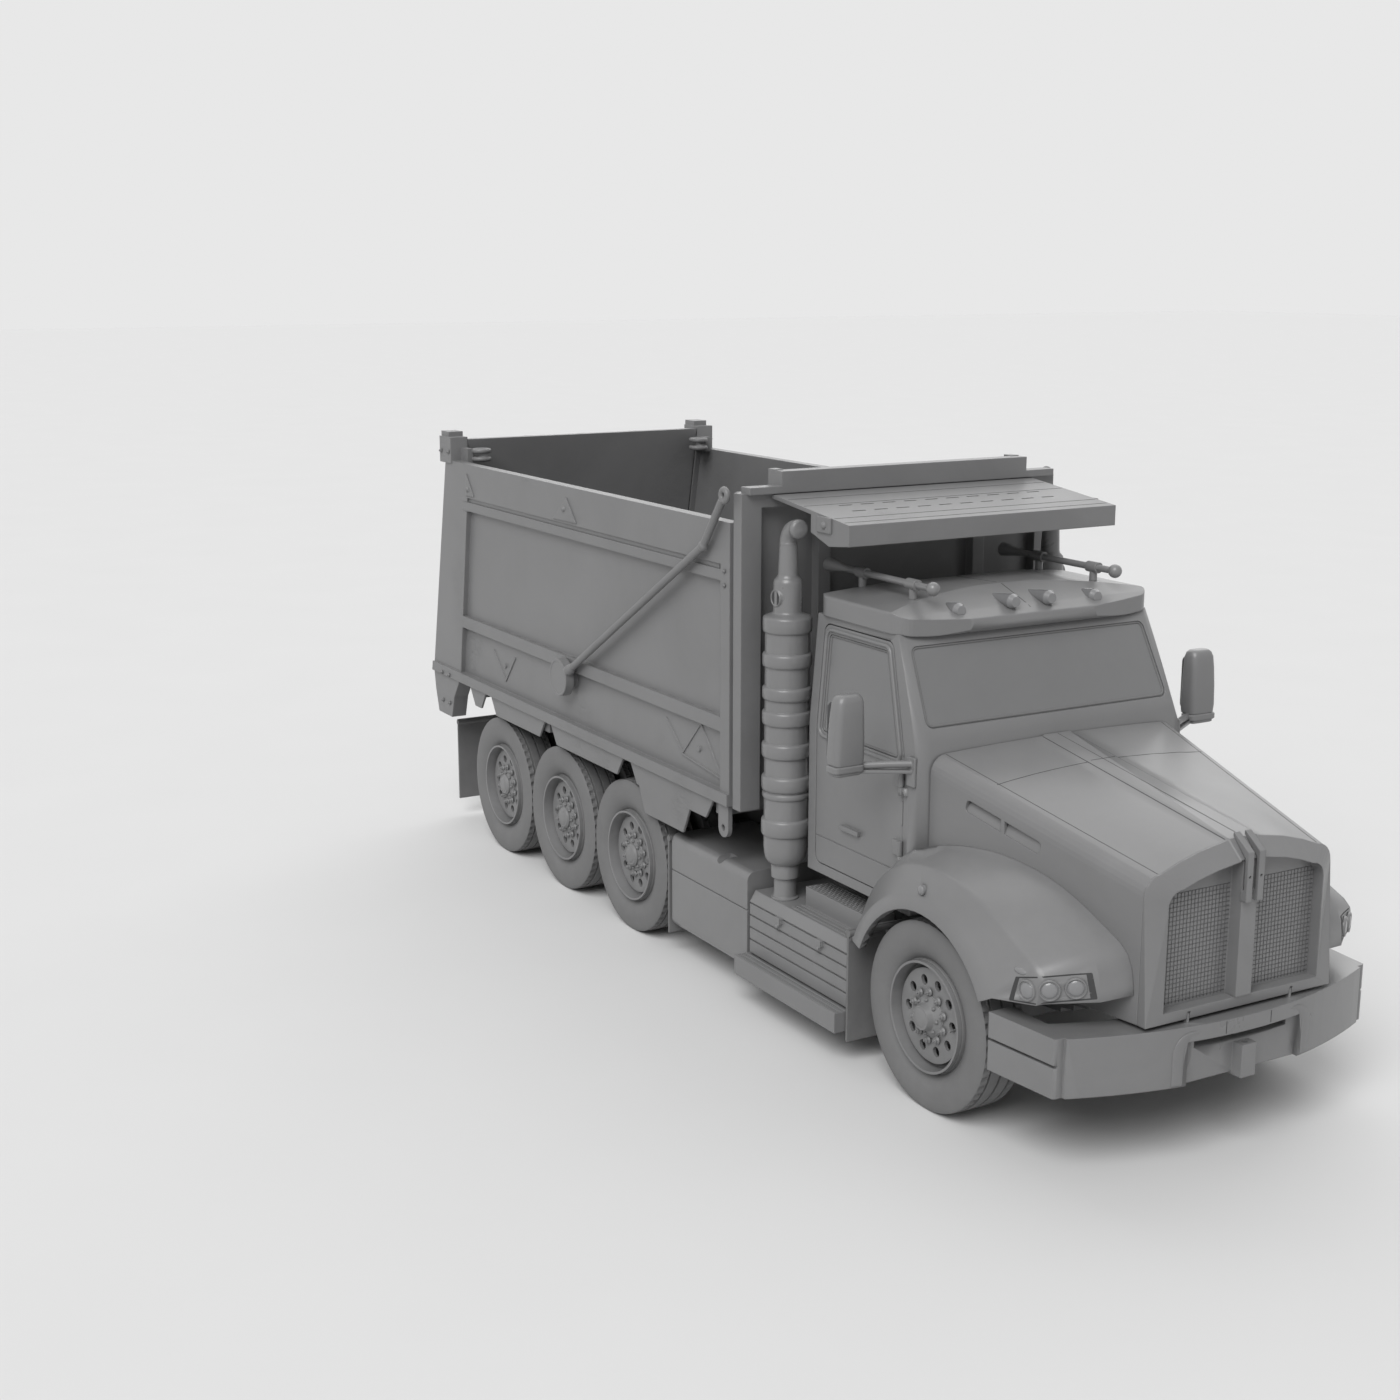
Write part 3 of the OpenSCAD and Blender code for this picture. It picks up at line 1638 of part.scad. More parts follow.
module grille() {
  top = open_low + (hood_mid_z[1] + strip_h - shell_low) * open_z_share;
  ridge = hood_mid_z[1] + strip_h + strap_lift;
  outline = [for (p = shell_loop(0, 0, open_y_share, open_z_share, open_low)) [p[1], p[2]]];
  color(pale)
    union() {
      front_slab(hood_front - grille_t, hood_front)
        offset(delta = grille_grow)
          polygon(outline);
      front_slab(hood_front - grille_t, grille_bar_x)
        rect([-grille_bar_y, grille_bar_y], [open_low, top]);
      pair()
        difference() {
          side_slab(strap_y - strap_half, strap_y + strap_half)
            soft(strap_lift / 4)
              polygon([[strap_x, strap_low], [strap_x, top + 2 * strap_thick],
                [hood_front, ridge + strap_thick], [hood_front, ridge],
                [strap_x - strap_thick, top + strap_lift], [strap_x - strap_thick, strap_low + strap_foot],
                [grille_bar_x - strap_lift, strap_low + strap_foot], [grille_bar_x - strap_lift,
                  strap_low]]);
          translate([hood_front, strap_y, mix(strap_low, top, strap_hole_share)])
            rotate([0, 90, 0])
              cylinder(r = strap_hole_r, h = strap_x);
        }
    }
}

// Dump body
function rear_at(z) = bed_rear + bed_lean * (z - ledge_z) / (bed_top - ledge_z);
sheet_out = bed_y - rail_out;
sheet_in = sheet_out - bed_wall;
sheet_mid = sheet_out - bed_wall / 2;
floor_low = floor_top - floor_t;
floor_rear = rear_at(floor_top) + gate_gap + gate_t + 2 * slide_gap;
gate_pin_x = rear_at(gate_pin_z) + gate_gap + gate_t / 2;
hoist_x = pivot_x + hoist_base;
hoist_eye_x = pivot_x + hoist_top;

module bed_floor() {
  ear_y = hoist_eye_w / 2 + ear_gap;
  bearer_y = skirt_y - skirt_t - seat_gap;
  color(clay)
    union() {
      difference() {
        union() {
          block([floor_rear, wall_x - bed_wall], [-sheet_in, sheet_in], [floor_low, floor_top]);
          for (t = bearer_shares)
            let (x = mix(floor_rear, bed_front - bearer_w, t))
              block([x, x + bearer_w], [-bearer_y, bearer_y], [bearer_low, floor_low]);
        }
        pair()
          block([floor_rear - over, rear_at(ledge_z) + post_rear_l[0] + seat_gap],
            [hook_y - seat_gap, bed_y], [bearer_low - over, floor_top + over]);
      }
      pair() {
        difference() {
          union() {
            block([pivot_x, bed_front], [sill_y, sill_y + sill_w], [sill_low, floor_low]);
            translate([pivot_x, 0, pivot_z])
              along_y(pivot_z - sill_low, sill_y, sill_y + sill_w);
          }
          translate([pivot_x, 0, pivot_z])
            along_y(pivot_r + pin_gap, sill_y - over, sill_y + sill_w + over);
        }
        side_slab(ear_y, ear_y + hoist_ear_t)
          union() {
            translate([hoist_eye_x, hoist_top_z])
              circle(r = hoist_ear);
            rect([hoist_eye_x - hoist_ear_l / 2, hoist_eye_x + hoist_ear_l / 2], [hoist_top_z, floor_low]);
          }
      }
    }
}

module side_outline() {
  polygon([[bed_front, ledge_z], [bed_front, bed_top], [rear_at(bed_top), bed_top], [rear_at(ledge_z),
    ledge_z]]);
}

// A band of the side between two heights, standing out to one depth
module side_band(z, y) {
  side_slab(sheet_mid, y)
    intersection() {
      side_outline();
      rect([bed_rear, bed_front], z);
    }
}

module rear_post(y0, y1, low_l, top_l) {
  side_slab(y0, y1)
    polygon([[rear_at(ledge_z), ledge_z], [rear_at(ledge_z) + low_l, ledge_z],
      [rear_at(bed_top) + top_l, bed_top], [rear_at(bed_top), bed_top]]);
}

// A line of one width drawn through points
module stroke(points, w) {
  for (i = [0:len(points) - 2])
    let (d = points[i + 1] - points[i])
      translate(points[i])
        rotate(atan2(d[1], d[0]))
          translate([-w / 2, -w / 2])
            square([norm(d) + w, w]);
}

module bed_side() {
  union() {
    side_slab(sheet_in, sheet_out)
      side_outline();
    side_band([bed_top - band_h, bed_top], bed_y);
    side_band(band2_z, bed_y);
    side_band(mid_z, bed_y);
    side_band([ledge_z, ledge_z + ledge_h], bed_y + ledge_out);
    block([bed_front - post_front_l, bed_front], [sheet_mid, bed_y], [ledge_z, bed_top]);
    rear_post(sheet_mid, bed_y, post_rear_l[0], post_rear_l[1]);
    rear_post(bed_y - post_w, sheet_mid, post_in_l, post_in_l);
    side_slab(hook_y, bed_y)
      polygon([[rear_at(ledge_z), floor_top], [rear_at(ledge_z) + post_rear_l[0], floor_top],
        [hook_x[1] + hook_toe, hook_neck_z], [hook_x[1], hook_z], [hook_x[0] + hook_toe, hook_z],
        [hook_x[0], hook_neck_z]]);
    block(cap_x, [bed_y - cap_w + ledge_out / 2, bed_y + ledge_out / 2], [bed_top - over,
      cap_top - cap_step]);
    block([cap_x[0], cap_x[1] - cap_w / 2], [bed_y - cap_w + ledge_out, bed_y - ledge_out / 2],
      [cap_top - cap_step - over, cap_top]);
    translate([gate_pin_x, 0, gate_pin_z])
      along_y(gate_pin_r, gate_y - gate_pin_l, bed_y - cap_w / 2);
    block([cap_x[1] - over, ring_x], [ring_y + ring_r + ring_tube / 2, ring_y + ring_r + 3 * ring_tube],
      [bed_top - over, ring_z[1] + ring_tube]);
    for (z = ring_z)
      translate([ring_x, ring_y, z])
        rotate_extrude()
          translate([ring_r, 0])
            circle(r = ring_tube);
    for (p = skirt_shares)
      let (a = mix(bed_rear, bed_front, p[0]), b = mix(bed_rear, bed_front, p[1]))
        side_slab(skirt_y, skirt_y + skirt_t)
          polygon([[a, ledge_z + over], [b, ledge_z + over], [b, ledge_z - over],
            [b - skirt_slant, skirt_low], [a + skirt_slant, skirt_low], [a, ledge_z - over]]);
    side_slab(skirt_y, skirt_y + skirt_t)
      polygon([[splash_x[0], ledge_z + over], [splash_x[1], ledge_z + over], [splash_x[1], skirt_low],
        [splash_x[1] - skirt_slant, splash_low], [splash_x[0] + skirt_slant, splash_low], [splash_x[0],
          skirt_low]]);
    side_slab(skirt_y - skirt_t, skirt_y + skirt_t)
      difference() {
        union() {
          translate([lug_x, lug_z])
            circle(r = lug_r);
          rect([lug_x - lug_r, lug_x + lug_r], [lug_z, ledge_z + over]);
        }
        translate([lug_x, lug_z])
          circle(r = lug_bore_r);
      }
    for (line = vee_lines)
      side_slab(sheet_mid, sheet_out + vee_d)
        stroke(line, vee_w);
    for (p = knob_places)
      translate([p[0], 0, p[1]])
        along_y(mark_knob_r, sheet_mid, sheet_out + mark_t);
    translate([arm_x, 0, arm_z]) {
      along_y(arm_boss_r, sheet_mid, arm_hub_y - slide_gap);
      along_y(arm_pin_r, sheet_mid, arm_hub_y + arm_pin_l);
    }
  }
}

module bed_sides() {
  color(clay)
    pair()
      bed_side();
}

module bed_front_wall() {
  color(clay)
    union() {
      block([wall_x - bed_wall, wall_x], [-sheet_in, sheet_in], [floor_low, wall_top]);
      block([wall_x - over, wall_front], [-sheet_in, sheet_in], [wall_top - wall_header, wall_top]);
      pair() {
        block([bed_front, wall_front], [sheet_in, sheet_out], [floor_low, wall_top]);
        block([bed_front + post_groove, wall_front], [sheet_mid, bed_y], [floor_low, wall_top]);
        block([wall_x - over, wall_front], [sheet_in - wall_inner, sheet_in + over], [floor_low, wall_top]);
        block([wall_x - over, wall_front], [wall_rib_y, wall_rib_y + rib_w], [floor_low, wall_top]);
        block(rail_x, [rail_mid_y - over, rail_end_y], [rail_low_z, rail_end_z]);
        block([rail_x[0] - cap_post_w, rail_x[0] + over], [rail_mid_y - cap_post_w, rail_mid_y],
          [wall_top - over, rail_top_z + rail_cap]);
      }
      block(rail_x, [-rail_mid_y, rail_mid_y], [rail_low_z, rail_top_z]);
    }
}

function shield_at(x) = mix(shield_rear_z, shield_front_z, (x - wall_front) / (shield_front - wall_front));

module cab_shield() {
  lip_x = shield_front - shield_t;
  lip_z = shield_front_z - shield_lip;
  color(clay)
    difference() {
      union() {
        side_slab(-shield_y, shield_y)
          polygon([[wall_front, shield_rear_z], [shield_front, shield_front_z], [shield_front, lip_z],
            [lip_x, lip_z], [lip_x, shield_at(lip_x) - shield_t], [wall_front, shield_rear_z - shield_t]]);
        pair()
          side_slab(shield_y - shield_t, shield_y)
            polygon([[cheek_rear, shield_at(cheek_rear) - shield_t / 2], [lip_x,
              shield_at(lip_x) - shield_t / 2],
              [lip_x + shield_t / 2, lip_z], [cheek_toe, cheek_low], [cheek_rear,
                cheek_low + shield_lip / 2]]);
      }
      for (t = slot_shares)
        for (i = [0:slot_count - 1])
          let (x = mix(wall_front, shield_front, t), y = (i - (slot_count - 1) / 2) * slot_step)
            block([x, x + slot_w], [y - slot_l / 2, y + slot_l / 2],
              [cheek_low, shield_rear_z + over]);
    }
}

module gate_slab(low, top, back, front) {
  polygon([[rear_at(low) + back, low], [rear_at(top) + back, top], [rear_at(top) + front, top],
    [rear_at(low) + front, low]]);
}

module tailgate() {
  back = gate_gap - gate_rib_t;
  color(clay)
    difference() {
      union() {
        side_slab(-gate_y, gate_y)
          gate_slab(gate_low, gate_top, gate_gap, gate_gap + gate_t);
        for (t = gate_rib_shares)
          let (y = t * gate_y)
            side_slab(y - gate_rib_w / 2, y + gate_rib_w / 2)
              gate_slab(gate_low, gate_top, back, gate_gap + over);
        for (z = gate_bars)
          side_slab(-gate_y, gate_y)
            gate_slab(z, z + gate_bar_h, back, gate_gap + over);
      }
      pair()
        translate([gate_pin_x, 0, gate_pin_z])
          along_y(gate_pin_r + pin_gap, gate_y - gate_pin_l - slide_gap, gate_y + over);
    }
}

// Hoist
hoist_len = norm([hoist_base - hoist_top, hoist_top_z - hoist_base_z]);
hoist_rise = atan2(hoist_top_z - hoist_base_z, hoist_base - hoist_top);

module at_hoist() {
  translate([hoist_x, 0, hoist_base_z])
    rotate([0, hoist_rise - 90, 0])
      children();
}

module hoist_barrel() {
  half = hoist_eye_w / 2;
  color(clay)
    at_hoist()
      difference() {
        union() {
          along_y(hoist_eye_r, -half, half);
          translate([0, 0, hoist_tail])
            cylinder(r = hoist_r, h = hoist_barrel_l - hoist_tail);
        }
        along_y(pivot_r + pin_gap, -half - over, half + over);
        translate([0, 0, hoist_wall_l])
          cylinder(r = hoist_rod_r + pin_gap, h = hoist_barrel_l);
      }
}

module hoist_rod() {
  half = hoist_eye_w / 2;
  color(pale)
    at_hoist()
      union() {
        translate([0, 0, hoist_wall_l + slide_gap])
          cylinder(r = hoist_rod_r, h = hoist_len - hoist_wall_l - slide_gap);
        translate([0, 0, hoist_len]) {
          along_y(hoist_eye_r, -half, half);
          along_y(hoist_pin_r, -half - ear_gap / 3, half + ear_gap / 3);
        }
      }
}

// Tarp arms
module tarp_arm(s) {
  elbow = [arm_elbow[0], arm_y, arm_elbow[1]];
  reach = [arm_eye[0] - arm_elbow[0], 0, arm_eye[1] - arm_elbow[1]];
  tip = elbow + reach * (1 - arm_eye_r / norm(reach));
  color(clay)
    on_side(s)
      difference() {
        union() {
          translate([arm_x, 0, arm_z])
            along_y(arm_hub_r, arm_hub_y, arm_hub_y + arm_hub_t);
          bar([arm_x, arm_y, arm_z], elbow, arm_r);
          translate(elbow)
            sphere(r = arm_elbow_r);
          bar(elbow, tip, arm_r);
          translate([arm_eye[0], arm_y, arm_eye[1]])
            rotate([90, 0, 0])
              rotate_extrude()
                translate([arm_eye_r, 0])
                  circle(r = arm_eye_tube);
        }
        translate([arm_x, 0, arm_z])
          along_y(arm_pin_r + pin_gap, arm_hub_y - over, arm_hub_y + arm_pin_l + pin_gap);
      }
}

frame();
front_axle();
rear_axles();
suspension();
driveline();
engine();
radiator();
cab_shell();
cab_roof();
cab_glass();
seats();
dashboard();
steering_wheel();
bumper();
air_horns();
roof_lamps();
mirrors();
exhaust_stacks();
fuel_tanks();
step_boxes();
mud_flaps();
tail_lamps();
hood();
fenders();
grille_shell();
grille();
headlamps();
bed_floor();
bed_sides();
bed_front_wall();
cab_shield();
tailgate();
hoist_barrel();
hoist_rod();
for (s = ["right", "left"]) {
  door(s);
  door_glass(s);
  tarp_arm(s);
  knuckle(s);
  front_tyre(s);
  front_rim(s);
  for (i = [1:3]) {
    rear_tyres(s, i);
    rear_rims(s, i);
  }
}
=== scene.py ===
import json
import math

import bmesh
import bpy
from mathutils import Matrix, Vector
from mathutils.bvhtree import BVHTree


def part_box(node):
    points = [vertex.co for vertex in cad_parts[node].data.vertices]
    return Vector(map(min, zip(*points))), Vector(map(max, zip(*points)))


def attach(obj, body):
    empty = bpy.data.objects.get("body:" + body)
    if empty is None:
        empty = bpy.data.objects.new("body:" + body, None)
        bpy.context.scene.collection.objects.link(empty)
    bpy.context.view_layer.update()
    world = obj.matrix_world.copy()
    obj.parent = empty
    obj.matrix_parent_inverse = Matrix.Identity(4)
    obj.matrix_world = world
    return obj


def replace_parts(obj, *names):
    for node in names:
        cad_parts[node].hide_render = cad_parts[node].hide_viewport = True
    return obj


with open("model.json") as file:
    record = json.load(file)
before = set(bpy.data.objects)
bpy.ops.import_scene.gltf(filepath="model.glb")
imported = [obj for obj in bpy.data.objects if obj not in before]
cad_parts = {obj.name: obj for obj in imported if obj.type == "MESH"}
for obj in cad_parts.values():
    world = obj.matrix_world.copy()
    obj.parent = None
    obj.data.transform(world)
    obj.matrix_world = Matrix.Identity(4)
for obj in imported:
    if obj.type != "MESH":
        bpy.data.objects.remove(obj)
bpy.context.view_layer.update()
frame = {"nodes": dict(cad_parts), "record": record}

bl_info = {
    "name": "Dump Truck Dressing",
    "version": (1, 0, 0),
    "blender": (4, 5, 0),
    "location": "3D View > Sidebar > Truck",
    "description": "Finishes and fine fittings for a tilting-hood dump truck with three rear axles",
    "category": "Add Mesh",
}

SIDES = {"right": -1, "left": 1}
PI = math.pi
DOWN, BACK = (0, 0, -1), (-1, 0, 0)
SLOTS = {s["node"]: s["material_slot"] for s in frame["record"]["subparts"]}


class TruckPaint(bpy.types.PropertyGroup):
    """Colours and wear of the finishes."""
    steel: bpy.props.FloatVectorProperty(
        name="Body steel", description="Colour of the dump body", subtype="COLOR", size=3,
        min=0, max=1, default=(0.176, 0.176, 0.178))
    cab: bpy.props.FloatVectorProperty(
        name="Cab paint", description="Colour of the cab, hood and fenders", subtype="COLOR", size=3,
        min=0, max=1, default=(0.182, 0.182, 0.184))
    chassis: bpy.props.FloatVectorProperty(
        name="Chassis", description="Colour of the frame, axles and springs", subtype="COLOR", size=3,
        min=0, max=1, default=(0.125, 0.125, 0.127))
    rubber: bpy.props.FloatVectorProperty(
        name="Rubber", description="Colour of the tyres and flaps", subtype="COLOR", size=3,
        min=0, max=1, default=(0.150, 0.150, 0.151))
    pane: bpy.props.FloatVectorProperty(
        name="Panes", description="Colour of the closed grey panes", subtype="COLOR", size=3,
        min=0, max=1, default=(0.158, 0.159, 0.161))
    bright: bpy.props.FloatVectorProperty(
        name="Bright parts", description="Colour of the stacks, horns and rims", subtype="COLOR", size=3,
        min=0, max=1, default=(0.185, 0.185, 0.187))
    trim: bpy.props.FloatVectorProperty(
        name="Cabin trim", description="Colour of the seats and dashboard", subtype="COLOR", size=3,
        min=0, max=1, default=(0.112, 0.112, 0.114))
    lens: bpy.props.FloatVectorProperty(
        name="Lenses", description="Colour of the lamp lenses", subtype="COLOR", size=3,
        min=0, max=1, default=(0.205, 0.206, 0.210))
    wear: bpy.props.FloatProperty(
        name="Edge wear", description="How much paler the worn edges are", subtype="FACTOR",
        min=0, max=1, default=0.22)
    dust: bpy.props.FloatProperty(
        name="Dust", description="Share of dust on faces that look up", subtype="FACTOR",
        min=0, max=1, default=0.16)
    edge: bpy.props.FloatProperty(
        name="Edge rounding", description="Radius that pressed and cast edges look rounded to",
        subtype="DISTANCE", unit="LENGTH", min=0, max=0.05, default=0.009)


class TruckFittings(bpy.types.PropertyGroup):
    """Sizes of the small fittings."""
    nut_r: bpy.props.FloatProperty(
        name="Wheel nut radius", description="Across-corner radius of a wheel nut",
        subtype="DISTANCE", unit="LENGTH", min=0.005, max=0.04, default=0.019)
    nut_count: bpy.props.IntProperty(
        name="Wheel nuts", description="Nuts on one wheel", min=6, max=12, default=10)
    bolt_r: bpy.props.FloatProperty(
        name="Bolt head radius", description="Radius of a body or bracket bolt head",
        subtype="DISTANCE", unit="LENGTH", min=0.004, max=0.03, default=0.014)
    pitches: bpy.props.IntProperty(
        name="Tread pitches", description="Tread blocks round one tyre", min=24, max=90, default=54)
    groove: bpy.props.FloatProperty(
        name="Tread depth", description="Depth of the cross grooves at the tyre's shoulders",
        subtype="DISTANCE", unit="LENGTH", min=0.002, max=0.02, default=0.011)
    seal_r: bpy.props.FloatProperty(
        name="Seal radius", description="Radius of the rubber seals round the panes",
        subtype="DISTANCE", unit="LENGTH", min=0.002, max=0.02, default=0.008)
    mesh_pitch: bpy.props.FloatProperty(
        name="Grille mesh pitch", description="Distance between the grille's wires",
        subtype="DISTANCE", unit="LENGTH", min=0.01, max=0.06, default=0.024)
    bead: bpy.props.FloatProperty(
        name="Weld bead radius", description="Radius of the weld beads on the dump body",
        subtype="DISTANCE", unit="LENGTH", min=0.001, max=0.01, default=0.005)


class TruckStage(bpy.types.PropertyGroup):
    """Floor and light."""
    floor: bpy.props.FloatVectorProperty(
        name="Floor", description="Colour of the studio floor", subtype="COLOR", size=3,
        min=0, max=1, default=(0.72, 0.72, 0.72))
    key: bpy.props.FloatProperty(
        name="Key light", description="Strength of the main soft light", min=0, max=10, default=2.2)
    fill: bpy.props.FloatProperty(
        name="Fill light", description="Strength of the soft light from behind", min=0, max=10, default=1.1)
    sky: bpy.props.FloatProperty(
        name="Studio", description="Strength of the even light from all round", min=0, max=2, default=0.55)
    back: bpy.props.FloatProperty(
        name="Backdrop", description="Strength of the backdrop as the camera sees it", min=0, max=2, default=1.12)


FLOAT = "NodeSocketFloat"
SOCKETS = {float: FLOAT, int: "NodeSocketInt"}


def group(kind, name, inputs, outputs):
    """An empty node group with named sockets, what its start gives and what its end takes."""
    tree = bpy.data.node_groups.new(name, kind)
    for label, value in inputs.items():
        socket = tree.interface.new_socket(label, in_out="INPUT", socket_type=SOCKETS.get(type(value), value))
        if type(value) in SOCKETS:
            socket.default_value = value
    for label, value in outputs.items():
        tree.interface.new_socket(label, in_out="OUTPUT", socket_type=value)
    return tree, tree.nodes.new("NodeGroupInput").outputs, tree.nodes.new("NodeGroupOutput").inputs


def node(tree, kind, links=None, **settings):
    """A node with settings; links maps an input's name or number to a value or to another node's output."""
    made = tree.nodes.new(kind)
    for key, value in settings.items():
        setattr(made, key, value)
    for key, value in (links or {}).items():
        if isinstance(value, bpy.types.NodeSocket):
            tree.links.new(value, made.inputs[key])
        else:
            made.inputs[key].default_value = value
    return made


def calc(tree, operation, *values, clamp=False):
    """What a Math node makes of these values."""
    made = node(tree, "ShaderNodeMath", dict(enumerate(values)), operation=operation, use_clamp=clamp)
    return made.outputs[0]


def combine(tree, **values):
    """A vector from its named parts."""
    return node(tree, "ShaderNodeCombineXYZ", values).outputs[0]


def ramp(tree, value, low, high, to_low=0.0, to_high=1.0):
    """A value moved from one range to another."""
    return node(tree, "ShaderNodeMapRange", {"Value": value, "From Min": low, "From Max": high,
                                             "To Min": to_low, "To Max": to_high}).outputs[0]


def own_place(tree):
    """The piece's own coordinates."""
    return node(tree, "ShaderNodeTexCoord").outputs["Object"]


def noise(tree, scale, detail, place=None, **more):
    """Noise over the piece, or over the places given."""
    where = own_place(tree) if place is None else place
    made = node(tree, "ShaderNodeTexNoise", {"Vector": where, "Scale": scale, "Detail": detail, **more})
    return made.outputs["Fac"]


def blend(tree, factor, a, b):
    """A colour between two others."""
    return node(tree, "ShaderNodeMix", {"Factor": factor, "A": a, "B": b}, data_type="RGBA").outputs["Result"]


def cloud_group():
    """Slow uneven patches, as in rolled steel and sprayed paint."""
    tree, given, made = group("ShaderNodeTree", "Patches", {"Size": 1.0, "Contrast": 1.0}, {"Value": FLOAT})
    cloud = calc(tree, "SUBTRACT", noise(tree, given["Size"], 5.0, Roughness=0.62, Distortion=0.6), 0.5)
    wide = calc(tree, "MULTIPLY", cloud, given["Contrast"])
    tree.links.new(calc(tree, "ADD", wide, 0.5, clamp=True), made["Value"])
    return tree


def edge_group():
    """Rounded-edge normals and a mask of the worn edges."""
    tree, given, made = group("ShaderNodeTree", "Worn Edges", {"Radius": 0.008, "Breakup": 30.0},
                              {"Normal": "NodeSocketVector", "Mask": FLOAT})
    soft = node(tree, "ShaderNodeBevel", {"Radius": given["Radius"]}, samples=4).outputs[0]
    flat = node(tree, "ShaderNodeNewGeometry").outputs["Normal"]
    same = node(tree, "ShaderNodeVectorMath", {0: soft, 1: flat}, operation="DOT_PRODUCT").outputs["Value"]
    chips = ramp(tree, noise(tree, given["Breakup"], 4.0), 0.38, 0.66, 0.25)
    tree.links.new(soft, made["Normal"])
    tree.links.new(calc(tree, "MULTIPLY", ramp(tree, same, 0.995, 0.85), chips, clamp=True), made["Mask"])
    return tree


def dust_group():
    """Dust on faces that look up, thicker low down, and road dirt near the ground."""
    tree, given, made = group("ShaderNodeTree", "Road Dust", {"Amount": 0.2, "Splash height": 1.1},
                              {"Mask": FLOAT})
    flat = node(tree, "ShaderNodeNewGeometry").outputs["Normal"]
    up, height = (node(tree, "ShaderNodeSeparateXYZ", {0: value}).outputs["Z"]
                  for value in (flat, own_place(tree)))
    low = ramp(tree, height, given["Splash height"], 0.1, 0.0, 0.9)
    held = ramp(tree, noise(tree, 6.0, 8.0, Roughness=0.7), 0.35, 0.7, 0.15)
    mask = calc(tree, "MULTIPLY", calc(tree, "MAXIMUM", ramp(tree, up, 0.2, 1.0), low), held)
    tree.links.new(calc(tree, "MULTIPLY", mask, given["Amount"], clamp=True), made["Mask"])
    return tree


def grain_group():
    """Fine grain as a height for a Bump node."""
    tree, given, made = group("ShaderNodeTree", "Fine Grain", {"Size": 220.0}, {"Height": FLOAT})
    tree.links.new(noise(tree, given["Size"], 3.0, Roughness=0.55), made["Height"])
    return tree


def scrape_group():
    """Thin scrapes and dents that sit in a few patches of a panel."""
    tree, given, made = group("ShaderNodeTree", "Scrapes", {"Size": 1.3}, {"Height": FLOAT})
    here = ramp(tree, noise(tree, given["Size"], 1.0), 0.60, 0.68)
    drawn = node(tree, "ShaderNodeVectorMath", {0: own_place(tree), 1: (5.0, 5.0, 16.0)},
                 operation="MULTIPLY")
    line = noise(tree, 2.2, 6.0, drawn.outputs[0], Roughness=0.6, Distortion=1.4)
    off = calc(tree, "ABSOLUTE", calc(tree, "SUBTRACT", line, 0.5))
    tree.links.new(calc(tree, "MULTIPLY", ramp(tree, off, 0.0, 0.018, -1.0, 0.0), here), made["Height"])
    return tree


EFFECTS = {"patches": cloud_group, "edges": edge_group, "dust": dust_group, "grain": grain_group,
           "scrapes": scrape_group}
GROUPS = {}
FINISHES = {}


def finish(name, colour, rough, edge, wear, dust, patch, spread, grain=240.0, depth=0.0004, scrapes=0.0,
           splash=1.1, coat=0.0):
    """A painted, cast or moulded finish: uneven colour, worn rounded edges, dust, grain and scrapes."""
    if name in FINISHES:
        return FINISHES[name]
    mat = bpy.data.materials.new(name)
    mat.use_nodes = True
    tree = mat.node_tree
    bsdf = tree.nodes["Principled BSDF"].inputs

    def use(kind, **values):
        """A shared effect, built once and placed here with these values."""
        if kind not in GROUPS:
            GROUPS[kind] = EFFECTS[kind]()
        return node(tree, "ShaderNodeGroup", {key.replace("_", " "): value for key, value in values.items()},
                    node_tree=GROUPS[kind]).outputs

    patches = use("patches", Size=patch, Contrast=1.5)["Value"]
    edges = use("edges", Radius=edge, Breakup=26.0)
    dusty = use("dust", Amount=dust, Splash_height=splash)["Mask"]
    height = use("grain", Size=grain)["Height"]
    dark, light, worn, powder = ((*(min(1.0, c * by + more) for c in colour), 1) for by, more in (
        (1 - 0.35 * spread, 0), (1 + 0.35 * spread, 0), (1.9, 0), (0.6, 0.16)))
    rubbed = blend(tree, calc(tree, "MULTIPLY", edges["Mask"], wear), blend(tree, patches, dark, light), worn)
    gloss = ramp(tree, patches, 0.0, 1.0, rough - 0.07, rough + 0.07)
    if scrapes:
        height = calc(tree, "MULTIPLY_ADD", use("scrapes", Size=1.3)["Height"], scrapes, height)
    bump = node(tree, "ShaderNodeBump", {"Strength": 1.0, "Distance": depth, "Height": height,
                                         "Normal": edges["Normal"]})
    tree.links.new(blend(tree, dusty, rubbed, powder), bsdf["Base Color"])
    tree.links.new(calc(tree, "MULTIPLY_ADD", dusty, 0.35, gloss, clamp=True), bsdf["Roughness"])
    tree.links.new(bump.outputs[0], bsdf["Normal"])
    bsdf["Coat Weight"].default_value = coat
    bsdf["Coat Roughness"].default_value = 0.2
    mat.diffuse_color = (*colour, 1)
    FINISHES[name] = mat
    return mat


